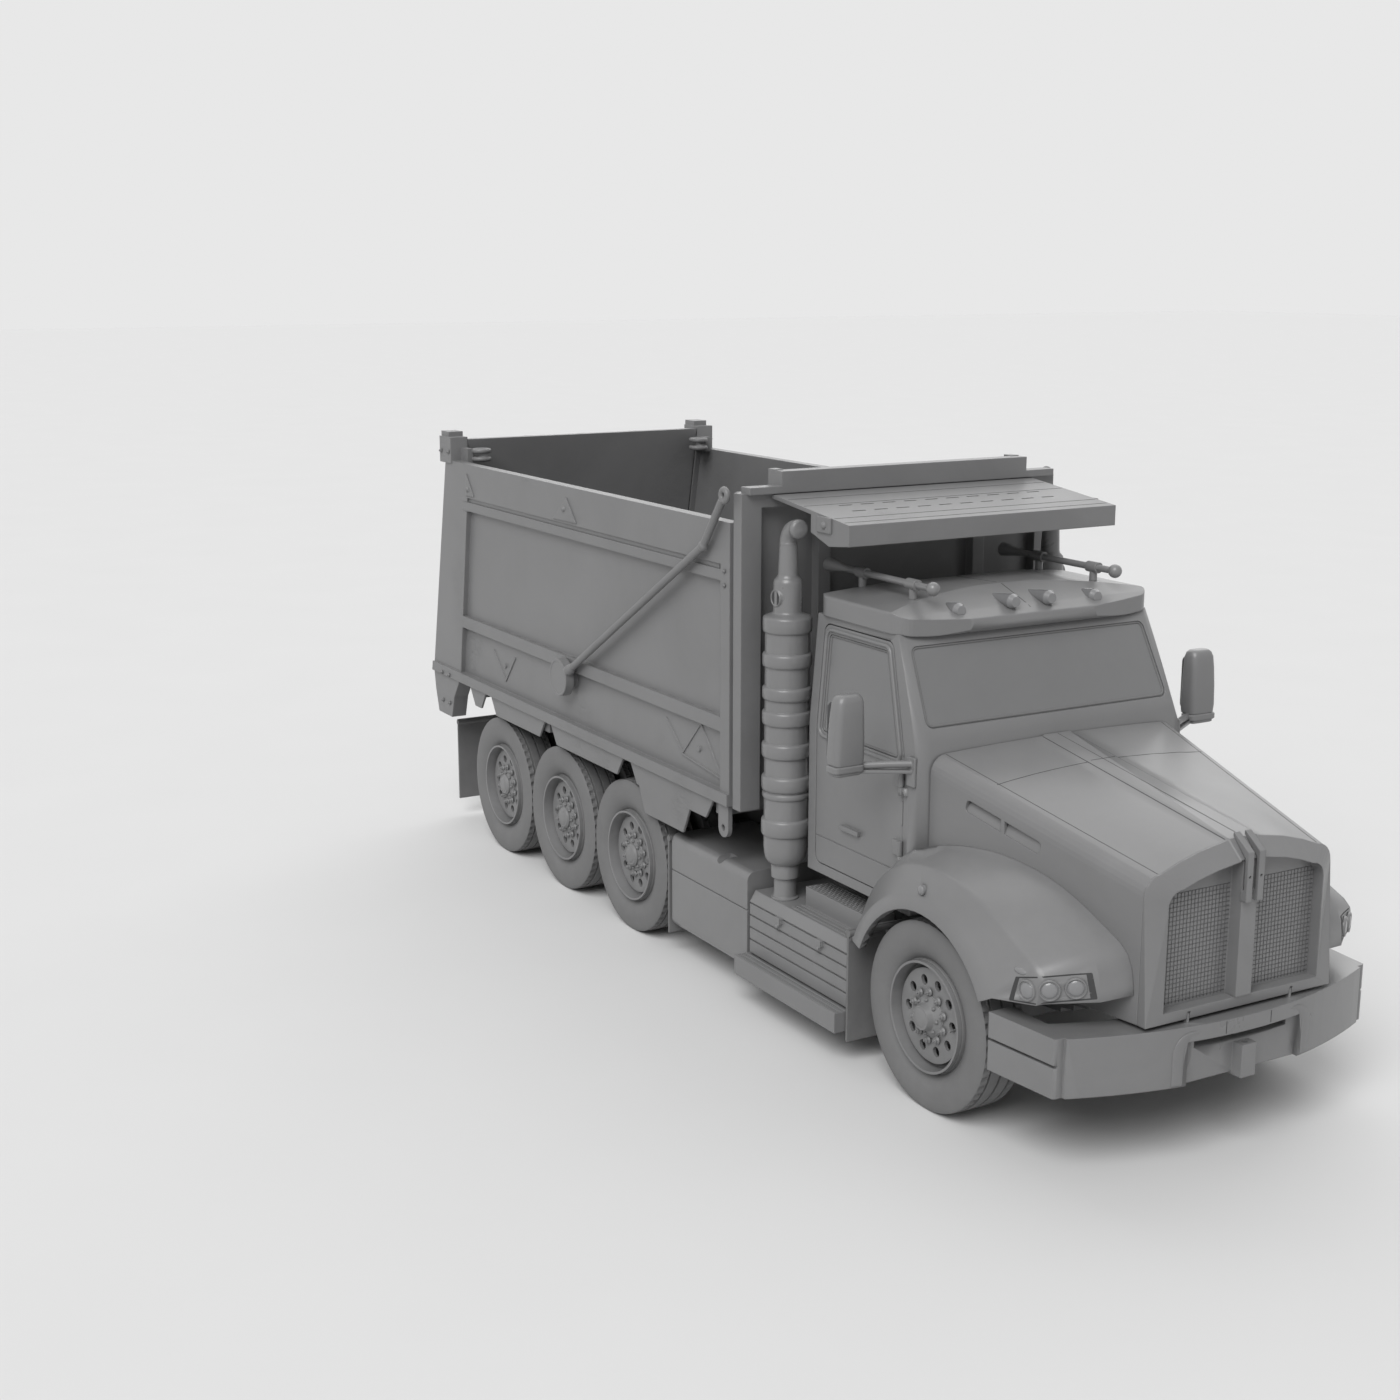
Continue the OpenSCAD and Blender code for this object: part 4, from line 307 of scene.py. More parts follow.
# Name, colour's setting, roughness, shares of the edge, wear and dust settings, patch size, spread of the
# colour, grain size, grain depth and what else the finish has
COATS = {
    "body_steel": ("Body steel", "steel", 0.42, 1, 1, 1, 1.1, 0.42, 160.0, 0.0005, {"scrapes": 1.8}),
    "cab_paint": ("Cab paint", "cab", 0.36, 1, 1, 1, 0.9, 0.30, 300.0, 0.00025, {"coat": 0.15}),
    "chassis": ("Chassis paint", "chassis", 0.55, 0.6, 1, 1.8, 2.4, 0.6, 120.0, 0.0007, {}),
    "tyre": ("Tyre rubber", "rubber", 0.62, 0.5, 0.6, 1.6, 3.0, 0.4, 190.0, 0.0005, {"splash": 0.9}),
    "flap": ("Flap rubber", "rubber", 0.66, 0.6, 0.6, 1.8, 2.6, 0.5, 90.0, 0.0007, {}),
    "rim": ("Rim paint", "bright", 0.38, 0.6, 1, 1.3, 3.2, 0.5, 220.0, 0.0003, {}),
    "bright": ("Bright steel", "bright", 0.30, 1, 1, 1, 1.4, 0.35, 300.0, 0.0002, {"coat": 0.2}),
    "pane": ("Grey pane", "pane", 0.22, 0.4, 0.3, 1, 0.7, 0.22, 500.0, 0.00006, {"coat": 0.35}),
    "lamp": ("Lamp lens", "lens", 0.20, 0.5, 0.4, 0.5, 2.2, 0.25, 420.0, 0.0002, {"coat": 0.5}),
    "cabin_trim": ("Cabin trim", "trim", 0.60, 1, 0.5, 0.4, 4.0, 0.4, 420.0, 0.0009, {}),
}


def coat_of(slot):
    """The finish of one of the record's slots."""
    p = bpy.context.scene.truck_paint
    name, colour, rough, edge, wear, dust, patch, spread, grain, depth, more = COATS[slot]
    return finish(name, getattr(p, colour), rough, p.edge * edge, p.wear * wear, p.dust * dust, patch, spread,
                  grain, depth, **more)


def shade():
    """Painted shade: a near-black finish for thin gaps, grooves and openings that lie in shade."""
    return finish("Seam shade", (0.045, 0.045, 0.046), 0.8, 0.001, 0.0, 0.0, 3.0, 0.3)


def body_of(name):
    """The body that a CAD node belongs to."""
    return next(b for b, nodes in frame["record"]["behaviour"]["bodies"].items() if name in nodes)


def span(a, b, count):
    """Evenly spaced values from a to b."""
    return [a + (b - a) * i / (count - 1) for i in range(count)]


SKINS = {}


def meet(name, origin, way):
    """Where a straight line first meets a CAD node, and the face's normal there, or two times None."""
    if name not in SKINS:
        mesh = frame["nodes"][name].data
        SKINS[name] = BVHTree.FromPolygons([v.co for v in mesh.vertices], [p.vertices for p in mesh.polygons])
    return SKINS[name].ray_cast(Vector(origin), Vector(way).normalized())[:2]


def touch(name, origin, way):
    """Where a straight line first meets a CAD node that must lie there, and the face's normal."""
    place, normal = meet(name, origin, way)
    if place is None:
        raise RuntimeError(f"nothing of {name} lies along {tuple(way)} from {tuple(origin)}")
    return place, normal


def shift(x, y, z):
    """A matrix that moves to a place."""
    return Matrix.Translation((x, y, z))


def look_along(place, way, up=(0, 0, 1)):
    """A matrix at place whose Z axis points along way."""
    z = Vector(way).normalized()
    x = Vector(up).cross(z)
    if x.length < 1e-4:
        x = Vector((1, 0, 0)).cross(z)
    x.normalize()
    y = z.cross(x)
    return Matrix.Translation(Vector(place)) @ Matrix((x, y, z)).transposed().to_4x4()


def skin(bm, rows, closed=True):
    """Faces between each row of points and the next, all the way round each row if it is closed."""
    for a, b in zip(rows, rows[1:]):
        for k in range(len(a) if closed else len(a) - 1):
            m = (k + 1) % len(a)
            corners = list(dict.fromkeys((a[k], a[m], b[m], b[k])))
            if len(corners) > 2:
                bm.faces.new(corners)


def lathe(bm, profile, matrix, sides=32):
    """A turned shape: profile is a list of (radius, height) along the matrix's Z axis."""
    rows = []
    for r, h in profile:
        if r < 1e-6:
            rows.append([bm.verts.new(matrix @ Vector((0, 0, h)))] * sides)
        else:
            rows.append([bm.verts.new(matrix @ Vector((r * math.cos(2 * PI * i / sides),
                                                       r * math.sin(2 * PI * i / sides), h)))
                         for i in range(sides)])
    skin(bm, rows)


def tube(bm, points, radius, sides=10, closed=False):
    """A round bar along points, with domed ends unless it is closed."""
    pts = [Vector(p) for p in points]
    n = len(pts)
    ways = []
    for i in range(n):
        before = pts[i - 1] if closed or i else pts[i]
        after = pts[(i + 1) % n] if closed or i < n - 1 else pts[i]
        ways.append((after - before).normalized())
    side = ways[0].orthogonal().normalized()
    rings = []
    for at, way in zip(pts, ways):
        side = (side - way * side.dot(way)).normalized()
        over = way.cross(side)
        rings.append([bm.verts.new(at + radius * (math.cos(2 * PI * k / sides) * side
                                                  + math.sin(2 * PI * k / sides) * over))
                      for k in range(sides)])
    if closed:
        first = rings[0]
        turn = min(range(sides), key=lambda k: (first[k].co - rings[-1][0].co).length)
        skin(bm, rings + [first[turn:] + first[:turn]])
        return
    skin(bm, rings)
    for ring, way, at in ((rings[0], -ways[0], pts[0]), (rings[-1], ways[-1], pts[-1])):
        tip = bm.verts.new(at + way * radius * 0.6)
        for k in range(sides):
            bm.faces.new((ring[k], ring[(k + 1) % sides], tip))


def brick(bm, size, matrix, bevel=0.004, segments=2):
    """A box of that size about the matrix, with rounded edges."""
    made = bmesh.ops.create_cube(bm, size=1, matrix=matrix @ Matrix.Diagonal((*size, 1)))
    edges = list({e for v in made["verts"] for e in v.link_edges})
    bmesh.ops.bevel(bm, geom=edges, offset=bevel, segments=segments, profile=0.7, affect="EDGES",
                    clamp_overlap=True)


def slab(bm, outline, thick, matrix, bevel=0.003):
    """A flat outline in the matrix's XY plane, thick along its Z, with rounded rims."""
    face = bm.faces.new([bm.verts.new(matrix @ Vector((x, y, 0))) for x, y in outline])
    made = bmesh.ops.extrude_face_region(bm, geom=[face])["geom"]
    top = [g for g in made if isinstance(g, bmesh.types.BMVert)]
    bmesh.ops.translate(bm, verts=top, vec=matrix.to_3x3() @ Vector((0, 0, thick)))
    rim = [g for g in made if isinstance(g, bmesh.types.BMEdge)]
    bmesh.ops.bevel(bm, geom=rim, offset=bevel, segments=2, profile=0.7, affect="EDGES", clamp_overlap=True)


def ribbon(bm, centre, across, width, height, sink):
    """A raised strip along centre, a list of (place, normal); across gives each point's sideways way."""
    rows = []
    for (place, normal), way in zip(centre, across):
        way = Vector(way).normalized()
        edge = way * width / 2
        crown = way * max(width / 2 - height, width * 0.3)
        rows.append([bm.verts.new(p) for p in (
            place - edge - normal * sink, place - crown + normal * height,
            place + crown + normal * height, place + edge - normal * sink)])
    skin(bm, rows)
    bm.faces.new(rows[0])
    bm.faces.new(reversed(rows[-1]))


def seam(bm, name, starts, way, width=0.006):
    """A thin line on a CAD node, through the points where lines from starts along way meet it."""
    spots = [touch(name, s, way) for s in starts]
    spots = [(p, n if n.dot(Vector(way)) < 0 else -n) for p, n in spots]
    across = []
    for i, (p, n) in enumerate(spots):
        along = spots[min(i + 1, len(spots) - 1)][0] - spots[max(i - 1, 0)][0]
        across.append(n.cross(along))
    ribbon(bm, spots, across, width, 0.0008, 0.002)


def loft(bm, rings):
    """A closed skin over rings of like points, with flat ends."""
    rows = [[bm.verts.new(p) for p in ring] for ring in rings]
    skin(bm, rows)
    bm.faces.new(rows[0])
    bm.faces.new(rows[-1])


def add(name, bm, slot, body, smooth=38, coat=None):
    """Puts a built shape in the scene, on its body and with its slot's finish or another coat."""
    bmesh.ops.remove_doubles(bm, verts=bm.verts, dist=1e-5)
    bmesh.ops.recalc_face_normals(bm, faces=bm.faces)
    mesh = bpy.data.meshes.new(name)
    bm.to_mesh(mesh)
    bm.free()
    obj = bpy.data.objects.new(name, mesh)
    bpy.context.scene.collection.objects.link(obj)
    mesh.materials.append(coat or coat_of(slot))
    for face in mesh.polygons:
        face.use_smooth = True
        face.material_index = 0
    mesh.set_sharp_from_angle(angle=math.radians(smooth))
    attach(obj, body)
    return obj


def tree_of(name, inputs):
    """An empty Geometry Nodes tree with named inputs, and its ends."""
    return group("GeometryNodeTree", name, {**inputs, "Finish": "NodeSocketMaterial"},
                 {"Geometry": "NodeSocketGeometry"})


def close_tree(tree, given, made, geometry):
    """Ends a tree in Realize Instances and Set Material."""
    real = node(tree, "GeometryNodeRealizeInstances", {0: geometry})
    paint = node(tree, "GeometryNodeSetMaterial", {"Geometry": real.outputs[0], "Material": given["Finish"]})
    tree.links.new(paint.outputs[0], made["Geometry"])
    return tree


def on_points(tree, points, instance, **more):
    """One instance on each point."""
    made = node(tree, "GeometryNodeInstanceOnPoints", {"Points": points, "Instance": instance, **more})
    return made.outputs[0]


def nut_shape(tree, given):
    """A flanged hex nut on its stud, standing on Z 0."""
    join = node(tree, "GeometryNodeJoinGeometry")
    # Corners, then the bottom's and top's radius and the height as shares of the nut's
    for corners, bottom, top, tall in ((6, 1.0, 0.86, 1.0), (16, 1.32, 1.0, 0.4), (10, 0.5, 0.36, 1.5)):
        cone = node(tree, "GeometryNodeMeshCone", {
            "Vertices": corners, "Radius Bottom": calc(tree, "MULTIPLY", given["Radius"], bottom),
            "Radius Top": calc(tree, "MULTIPLY", given["Radius"], top),
            "Depth": calc(tree, "MULTIPLY", given["Height"], tall)})
        tree.links.new(cone.outputs["Mesh"], join.inputs[0])
    up = combine(tree, Z=calc(tree, "MULTIPLY", given["Height"], 0.5))
    return node(tree, "GeometryNodeTransform", {"Geometry": join.outputs[0], "Translation": up}).outputs[0]


def nut_ring_tree():
    """Nuts evenly round a circle."""
    tree, given, made = tree_of("Nut Ring", {"Count": 10, "Circle": 0.14, "Radius": 0.018, "Height": 0.02})
    circle = node(tree, "GeometryNodeMeshCircle", {"Vertices": given["Count"], "Radius": given["Circle"]})
    return close_tree(tree, given, made, on_points(tree, circle.outputs[0], nut_shape(tree, given)))


def bolt_row_tree():
    """Bolt heads in a straight row along X."""
    tree, given, made = tree_of("Bolt Row", {"Count": 2, "Length": 0.2, "Radius": 0.014, "Height": 0.012})
    end = combine(tree, X=given["Length"])
    line = node(tree, "GeometryNodeMeshLine", {"Count": given["Count"], "Offset": end}, mode="END_POINTS")
    return close_tree(tree, given, made, on_points(tree, line.outputs[0], nut_shape(tree, given)))


def tread_plate_tree():
    """Raised lozenges in a crossed pattern on a flat plate in XY."""
    tree, given, made = tree_of("Tread Plate", {"Columns": 40, "Rows": 8, "Length": 1.0, "Width": 0.2,
                                                "Stud": 0.018, "Height": 0.004})
    grid = node(tree, "GeometryNodeMeshGrid", {"Size X": given["Length"], "Size Y": given["Width"],
                                               "Vertices X": given["Columns"], "Vertices Y": given["Rows"]})
    stud = node(tree, "GeometryNodeMeshUVSphere", {"Segments": 8, "Rings": 4, "Radius": 1.0})
    size = combine(tree, X=given["Stud"], Y=calc(tree, "MULTIPLY", given["Stud"], 0.32), Z=given["Height"])
    flat = node(tree, "GeometryNodeTransform", {"Geometry": stud.outputs["Mesh"], "Scale": size})
    index = node(tree, "GeometryNodeInputIndex").outputs[0]
    column = calc(tree, "FLOOR", calc(tree, "DIVIDE", index, given["Rows"]))
    odd = calc(tree, "MODULO", calc(tree, "ADD", column, index), 2.0)
    turn = combine(tree, Z=calc(tree, "MULTIPLY_ADD", odd, PI / 2, PI / 4))
    studs = on_points(tree, grid.outputs["Mesh"], flat.outputs[0], Rotation=turn)
    return close_tree(tree, given, made, studs)


TREES = {}


def grow(kind, slot, **values):
    """The plain mesh that a Geometry Nodes tree makes with these values."""
    if kind not in TREES:
        TREES[kind] = kind()
    tree = TREES[kind]
    ids = {item.name: item.identifier for item in tree.interface.items_tree if item.in_out == "INPUT"}
    holder = bpy.data.objects.new("holder", bpy.data.meshes.new("holder"))
    bpy.context.scene.collection.objects.link(holder)
    modifier = holder.modifiers.new("Repeat", "NODES")
    modifier.node_group = tree
    modifier[ids["Finish"]] = coat_of(slot)
    for label, value in values.items():
        modifier[ids[label]] = value
    graph = bpy.context.evaluated_depsgraph_get()
    mesh = bpy.data.meshes.new_from_object(holder.evaluated_get(graph), depsgraph=graph)
    holder.modifiers.clear()
    bpy.data.objects.remove(holder)
    return mesh


def gather(bm, parts):
    """Adds (mesh, matrix) pairs to a built shape."""
    for mesh, matrix in parts:
        copy = mesh.copy()
        copy.transform(matrix)
        bm.from_mesh(copy)
        bpy.data.meshes.remove(copy)
    return bm


class TRUCK_OT_finishes(bpy.types.Operator):
    """Gives every CAD node the finish of its slot in the record."""
    bl_idname = "truck.finishes"
    bl_label = "Finishes"

    def execute(self, context):
        for name, obj in frame["nodes"].items():
            obj.data.materials.clear()
            obj.data.materials.append(coat_of(SLOTS[name]))
        return {"FINISHED"}


TYRE_R = 0.548
WELL_R = 0.322
TWIN_W = 0.280
# Sidewall and shoulder: radius over tyre radius, half width over half the tyre's width
TYRE_LINE = ((0.600, 0.640), (0.622, 0.735), (0.655, 0.800), (0.70, 0.900), (0.76, 0.970), (0.81, 0.993),
             (0.86, 1.000), (0.905, 0.985), (0.94, 0.955), (0.966, 0.925), (0.985, 0.892), (0.995, 0.86))
RIB, BLOCK, MIDDLE = range(3)
# Tread: half width over half the tyre's width, depth, and what the cross grooves do there
TREAD_LINE = ((0.78, 0, BLOCK), (0.70, 0, BLOCK), (0.60, 0, BLOCK), (0.575, 0, RIB), (0.565, 0.014, RIB),
              (0.475, 0.014, RIB), (0.465, 0, RIB), (0.30, 0, MIDDLE), (0.075, 0, MIDDLE), (0.060, 0, RIB),
              (0.050, 0.014, RIB))


def tyre(bm, width, matrix, pitches, deep):
    """A road tyre about the matrix's Z axis: beads, rounded walls, shoulder blocks and straight grooves."""
    half = width / 2
    right = [(WELL_R + 0.0005, half - 0.026, RIB), *((r * TYRE_R, w * half, RIB) for r, w in TYRE_LINE),
             *((TYRE_R - drop, at * half, kind) for at, drop, kind in TREAD_LINE)]
    line = right + [(r, -w, k) for r, w, k in reversed(right)]
    steps = pitches * 4
    rows = []
    for s in range(steps):
        row = []
        for r, w, kind in line:
            if kind == BLOCK and s % 4 < 2:
                r -= deep
            if kind == MIDDLE and s % 4 == 2:
                r -= deep * 0.35
            turn = 2 * PI * s / steps + (0.012 * (w / half) if kind else 0)
            row.append(bm.verts.new(matrix @ Vector((r * math.cos(turn), r * math.sin(turn), w))))
        rows.append(row)
    skin(bm, rows + rows[:1])


class TRUCK_OT_tyres(bpy.types.Operator):
    """Road tyres with shoulder blocks, straight grooves and sidewall rings, in place of the plain ones."""
    bl_idname = "truck.tyres"
    bl_label = "Tyres"

    def execute(self, context):
        f = context.scene.truck_fittings
        for name in [n for n in frame["nodes"] if "tyre" in n]:
            lo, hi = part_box(name)
            single = name.startswith("front")
            width = hi.y - lo.y if single else TWIN_W
            bm = bmesh.new()
            for y in [(lo.y + hi.y) / 2] if single else [lo.y + width / 2, hi.y - width / 2]:
                tyre(bm, width, look_along(((lo.x + hi.x) / 2, y, TYRE_R), (0, 1, 0)), f.pitches, f.groove)
            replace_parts(add("road_" + name, bm, "tyre", body_of(name), smooth=32), name)
        return {"FINISHED"}


# Turned lines, as (radius, height): a wheel's hub cap and the ring round its hub
HUB_CAP = [(0.0, 0.010), (0.030, 0.009), (0.052, 0.004), (0.060, -0.002), (0.060, -0.004), (0.0, -0.004)]
HUB_RING = [(0.124, -0.002), (0.124, 0.006), (0.119, 0.009), (0.112, 0.009), (0.107, 0.006), (0.107, -0.002)]
NUT_CIRCLE, HUB_CIRCLE, STEM_R = 0.142, 0.098, 0.236


class TRUCK_OT_wheel_nuts(bpy.types.Operator):
    """Wheel nuts, hub flange bolts, hub cap rings and valve stems on every wheel."""
    bl_idname = "truck.wheel_nuts"
    bl_label = "Wheel nuts"

    def execute(self, context):
        f = context.scene.truck_fittings
        nuts = grow(nut_ring_tree, "rim", Count=f.nut_count, Circle=NUT_CIRCLE, Radius=f.nut_r, Height=0.020)
        small = grow(nut_ring_tree, "rim", Count=8, Circle=HUB_CIRCLE, Radius=0.0095, Height=0.010)
        for name in [n for n in frame["nodes"] if "_rim" in n]:
            sign = SIDES["left" if "left" in name else "right"]
            lo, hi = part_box(name)
            x = (lo.x + hi.x) / 2

            def face(r, turn):
                """Where the wheel's outer face lies at that radius."""
                start = (x + r * math.cos(turn), 3 * sign, TYRE_R + r * math.sin(turn))
                return touch(name, start, (0, -sign, 0))[0].y

            def seat(y):
                """A place on the axle's line that looks outwards."""
                return look_along((x, y, TYRE_R), (0, sign, 0))

            half_step = PI / f.nut_count
            disc, hub, tip = face(NUT_CIRCLE, half_step), face(HUB_CIRCLE, 0.2), face(0.02, 0.3)
            ring = seat(disc) @ Matrix.Rotation(half_step, 4, "Z")
            bm = gather(bmesh.new(), [(nuts, ring), (small, seat(hub))])
            lathe(bm, HUB_CAP, seat(tip), 28)
            lathe(bm, HUB_RING, seat(min(hub * sign, disc * sign) * sign), 40)
            tube(bm, [(x + STEM_R + along, disc + sign * out, TYRE_R)
                      for along, out in ((0, -0.01), (0.004, 0.03), (0.014, 0.055))], 0.0055, 8)
            add("nuts_" + name, bm, "rim", body_of(name))
        return {"FINISHED"}


# The way that each light shines, and its width in degrees
LIGHTS = {"key": ((-0.42, 0.56, -0.71), 40), "fill": ((0.60, -0.40, -0.60), 70)}
LIGHT_FAR, FLOOR_HALF = 12, 140
CAMERA_LENS, CAMERA_SENSOR, CAMERA_REACH = 50, 36, 500
CAMERA_PLACE, CAMERA_YAW, CAMERA_PITCH = (11.1145, -7.2786, 4.6589), 150.4219, -12.6289


class TRUCK_OT_stage(bpy.types.Operator):
    """Pale floor, soft studio light and the camera."""
    bl_idname = "truck.stage"
    bl_label = "Stage"

    def execute(self, context):
        scene, s = context.scene, context.scene.truck_stage
        scene.view_settings.view_transform = "Standard"

        def put(name, data, way=None, place=(0, 0, 0)):
            """A new object that looks along way."""
            obj = bpy.data.objects.new(name, data)
            obj.location = place
            if way:
                obj.rotation_euler = Vector(way).to_track_quat("-Z", "Y").to_euler()
            scene.collection.objects.link(obj)
            return obj

        bm = bmesh.new()
        bmesh.ops.create_grid(bm, x_segments=8, y_segments=8, size=FLOOR_HALF)
        mesh = bpy.data.meshes.new("studio_floor")
        bm.to_mesh(mesh)
        bm.free()
        mat = bpy.data.materials.new("Studio floor")
        mat.use_nodes = True
        tree = mat.node_tree
        bsdf = tree.nodes["Principled BSDF"].inputs
        bsdf["Roughness"].default_value = 0.8
        bsdf["Specular IOR Level"].default_value = 0
        tone = blend(tree, noise(tree, 0.8, 4.0), (*(c * 0.97 for c in s.floor), 1), (*s.floor, 1))
        tree.links.new(tone, bsdf["Base Color"])
        mesh.materials.append(mat)
        put("studio_floor", mesh)
        world = bpy.data.worlds.new("Studio")
        scene.world = world
        world.use_nodes = True
        tree = world.node_tree
        back = tree.nodes["Background"].inputs
        back["Color"].default_value = (*s.floor, 1)
        rays = node(tree, "ShaderNodeLightPath").outputs
        seen = calc(tree, "MAXIMUM", rays["Is Camera Ray"], rays["Is Glossy Ray"])
        clear = calc(tree, "MAXIMUM", seen, rays["Is Transmission Ray"])
        tree.links.new(ramp(tree, clear, 0.0, 1.0, s.sky, s.back), back["Strength"])
        for name, (way, soft) in LIGHTS.items():
            data = bpy.data.lights.new(name + "_light", "SUN")
            data.angle, data.energy = math.radians(soft), getattr(s, name)
            put(name + "_light", data, way, Vector(way) * -LIGHT_FAR)
        data = bpy.data.cameras.new("photo_camera")
        data.lens, data.sensor_width, data.clip_end = CAMERA_LENS, CAMERA_SENSOR, CAMERA_REACH
        yaw, pitch = math.radians(CAMERA_YAW), math.radians(CAMERA_PITCH)
        way = (math.cos(yaw) * math.cos(pitch), math.sin(yaw) * math.cos(pitch), math.sin(pitch))
        scene.camera = put("photo_camera", data, way, CAMERA_PLACE)
        return {"FINISHED"}


# Panel and the angle, in degrees, below which its facets are smoothed
PRESSED = {"hood": 24, "fenders": 36, "grille_shell": 26, "cab_roof": 13, "bumper": 22, "cab_shell": 28}


class TRUCK_OT_panels(bpy.types.Operator):
    """Smooth merged copies of the pressed and moulded panels."""
    bl_idname = "truck.panels"
    bl_label = "Panels"

    def execute(self, context):
        for name, angle in PRESSED.items():
            bm = bmesh.new()
            bm.from_mesh(frame["nodes"][name].data)
            bmesh.ops.remove_doubles(bm, verts=bm.verts, dist=2e-5)
            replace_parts(add("pressed_" + name, bm, SLOTS[name], body_of(name), smooth=angle), name)
        return {"FINISHED"}


HOOD_REAR, HOOD_LENGTH, HOOD_HALF_W, HOOD_TAPER = 2.521, 1.505, 0.905, 0.243
STRIP_Y = 0.1095


def hood_half_y(x):
    """Half width of the hood there."""
    return HOOD_HALF_W - HOOD_TAPER * (x - HOOD_REAR) / HOOD_LENGTH


class TRUCK_OT_hood_seams(bpy.types.Operator):
    """Painted shade lines along the hood's seams: its middle strip, the cross seam, the shoulder lines, and along
    the roof's middle.
    """
    bl_idname = "truck.hood_seams"
    bl_label = "Hood seams"

    def execute(self, context):
        bm = bmesh.new()
        along = span(2.53, 4.015, 24)
        for y in (-STRIP_Y, 0.0, STRIP_Y):
            seam(bm, "hood", [(x, y, 3) for x in along], DOWN, 0.005 if y == 0 else 0.008)
        for a, b in ((-0.755, -0.108), (-0.09, 0.09), (0.108, 0.755)):
            seam(bm, "hood", [(2.93, y, 3) for y in span(a, b, 12)], DOWN)
        for sign in SIDES.values():
            seam(bm, "hood", [(x, sign * (hood_half_y(x) - 0.098), 3) for x in along], DOWN, 0.005)
        # The seam lines on the hood and roof are near-black painted shade, not grooves cut in the panels.
        add("hood_seams", bm, "cab_paint", "hood", coat=shade())
        bm = bmesh.new()
        seam(bm, "cab_roof", [(x, 0, 4) for x in span(1.40, 2.24, 16)], DOWN)
        add("roof_seam", bm, "cab_paint", "chassis", coat=shade())
        return {"FINISHED"}


VENT_X, VENT_Z, VENT_H, VENT_DROP = (2.790, 3.345), 1.668, 0.070, math.radians(13)
VENT_LAP = 0.004


class TRUCK_OT_vents(bpy.types.Operator):
    """Shallow scoops behind the slots in the hood's sides."""
    bl_idname = "truck.vents"
    bl_label = "Hood vents"

    def execute(self, context):
        mid, long = (VENT_X[0] + VENT_X[1]) / 2, (VENT_X[1] - VENT_X[0]) / 2
        for side, sign in SIDES.items():
            bm = bmesh.new()
            rows = []
            for s in span(-long - VENT_LAP, long + VENT_LAP, 26):
                row = []
                for t in span(-1, 1, 7):
                    up = t * (VENT_H / 2 + VENT_LAP)
                    x = mid + s * math.cos(VENT_DROP) + up * math.sin(VENT_DROP)
                    z = VENT_Z - s * math.sin(VENT_DROP) + up * math.cos(VENT_DROP)
                    ease = min(1, max(0, (long - s) / (0.9 * long)))
                    deep = 0.006 + 0.036 * (0.5 + 0.5 * t) * (0.25 + 0.75 * ease)
                    row.append(bm.verts.new((x, sign * (hood_half_y(x) - deep), z)))
                rows.append(row)
            skin(bm, rows, closed=False)
            bmesh.ops.recalc_face_normals(bm, faces=bm.faces)
            bmesh.ops.solidify(bm, geom=list(bm.faces), thickness=0.002)
            add("vent_scoop_" + side, bm, "cab_paint", "hood", smooth=60)
        return {"FINISHED"}


WIRE_R = 0.0017
GRILLE_Z = (0.885, 1.50)
GRILLE_Y = (0.062, 0.60)


class TRUCK_OT_screens(bpy.types.Operator):
    """Fine wire screens on the two grille panels."""
    bl_idname = "truck.screens"
    bl_label = "Grille screens"

    def execute(self, context):
        pitch = context.scene.truck_fittings.mesh_pitch
        near, far = GRILLE_Y

        def panel(y, z):
            """Where the panel shows at that place, or None."""
            bars, rim = (meet(name, (4.5, y, z), BACK)[0] for name in ("grille", "grille_shell"))
            hidden = bars is None or (rim is not None and rim.x > bars.x)
            return None if hidden else bars.x

        bm = bmesh.new()
        ys = [y for y in span(-far, far, int(2 * far / pitch) + 1) if abs(y) > near + 0.002]
        zs = span(*GRILLE_Z, int((GRILLE_Z[1] - GRILLE_Z[0]) / pitch) + 1)
        lines = [[(y, z) for z in span(*GRILLE_Z, 42)] for y in ys]
        lines += [[(y, z) for y in span(a, b, 30)] for z in zs for a, b in ((-far, -near), (near, far))]
        for line in lines:
            run = []
            for y, z in [*line, (9, 9)]:
                x = panel(y, z)
                if x is not None and (not run or abs(run[-1].x - x) < 0.02):
                    run.append(Vector((x + 0.0012, y, z)))
                else:
                    if len(run) > 2:
                        tube(bm, run, WIRE_R, 4)
                    run = []
        add("grille_screens", bm, "chassis", body_of("grille"), smooth=60)
        return {"FINISHED"}


# Forward place, side place, height and outward turn in degrees of each front lens
LENS_PLACES = ((3.716, 1.136, 1.003, 80), (3.820, 1.078, 1.026, 36), (3.892, 0.965, 1.041, 36))
# Corners of the lamp pocket, whose rim and end patches are painted shade, in turn from its outer upper one, and
# the side that each lies on
POCKET = (((3.630, 1.142, 1.046), "side"), ((3.782, 1.128, 1.092), "corner"),
          ((3.922, 0.890, 1.118), "front"), ((3.958, 0.880, 0.990), "front"),
          ((3.777, 1.128, 0.946), "corner"), ((3.592, 1.146, 0.912), "side"))
LAMP_WAYS = {"side": (0.1, 1.0, 0), "corner": (0.7, 0.7, 0), "front": (0.8, 0.6, 0)}
# Turned lines, as (radius, height), of a lens's rim and of the lens
BEZEL = [(0.045, -0.006), (0.047, 0.004), (0.050, 0.008), (0.055, 0.008), (0.058, 0.004), (0.059, -0.008),
         (0.045, -0.006)]
DOME = [(0.0, 0.011), (0.017, 0.010), (0.032, 0.007), (0.042, 0.002), (0.046, -0.003), (0.0, -0.004)]
REACH = 0.15


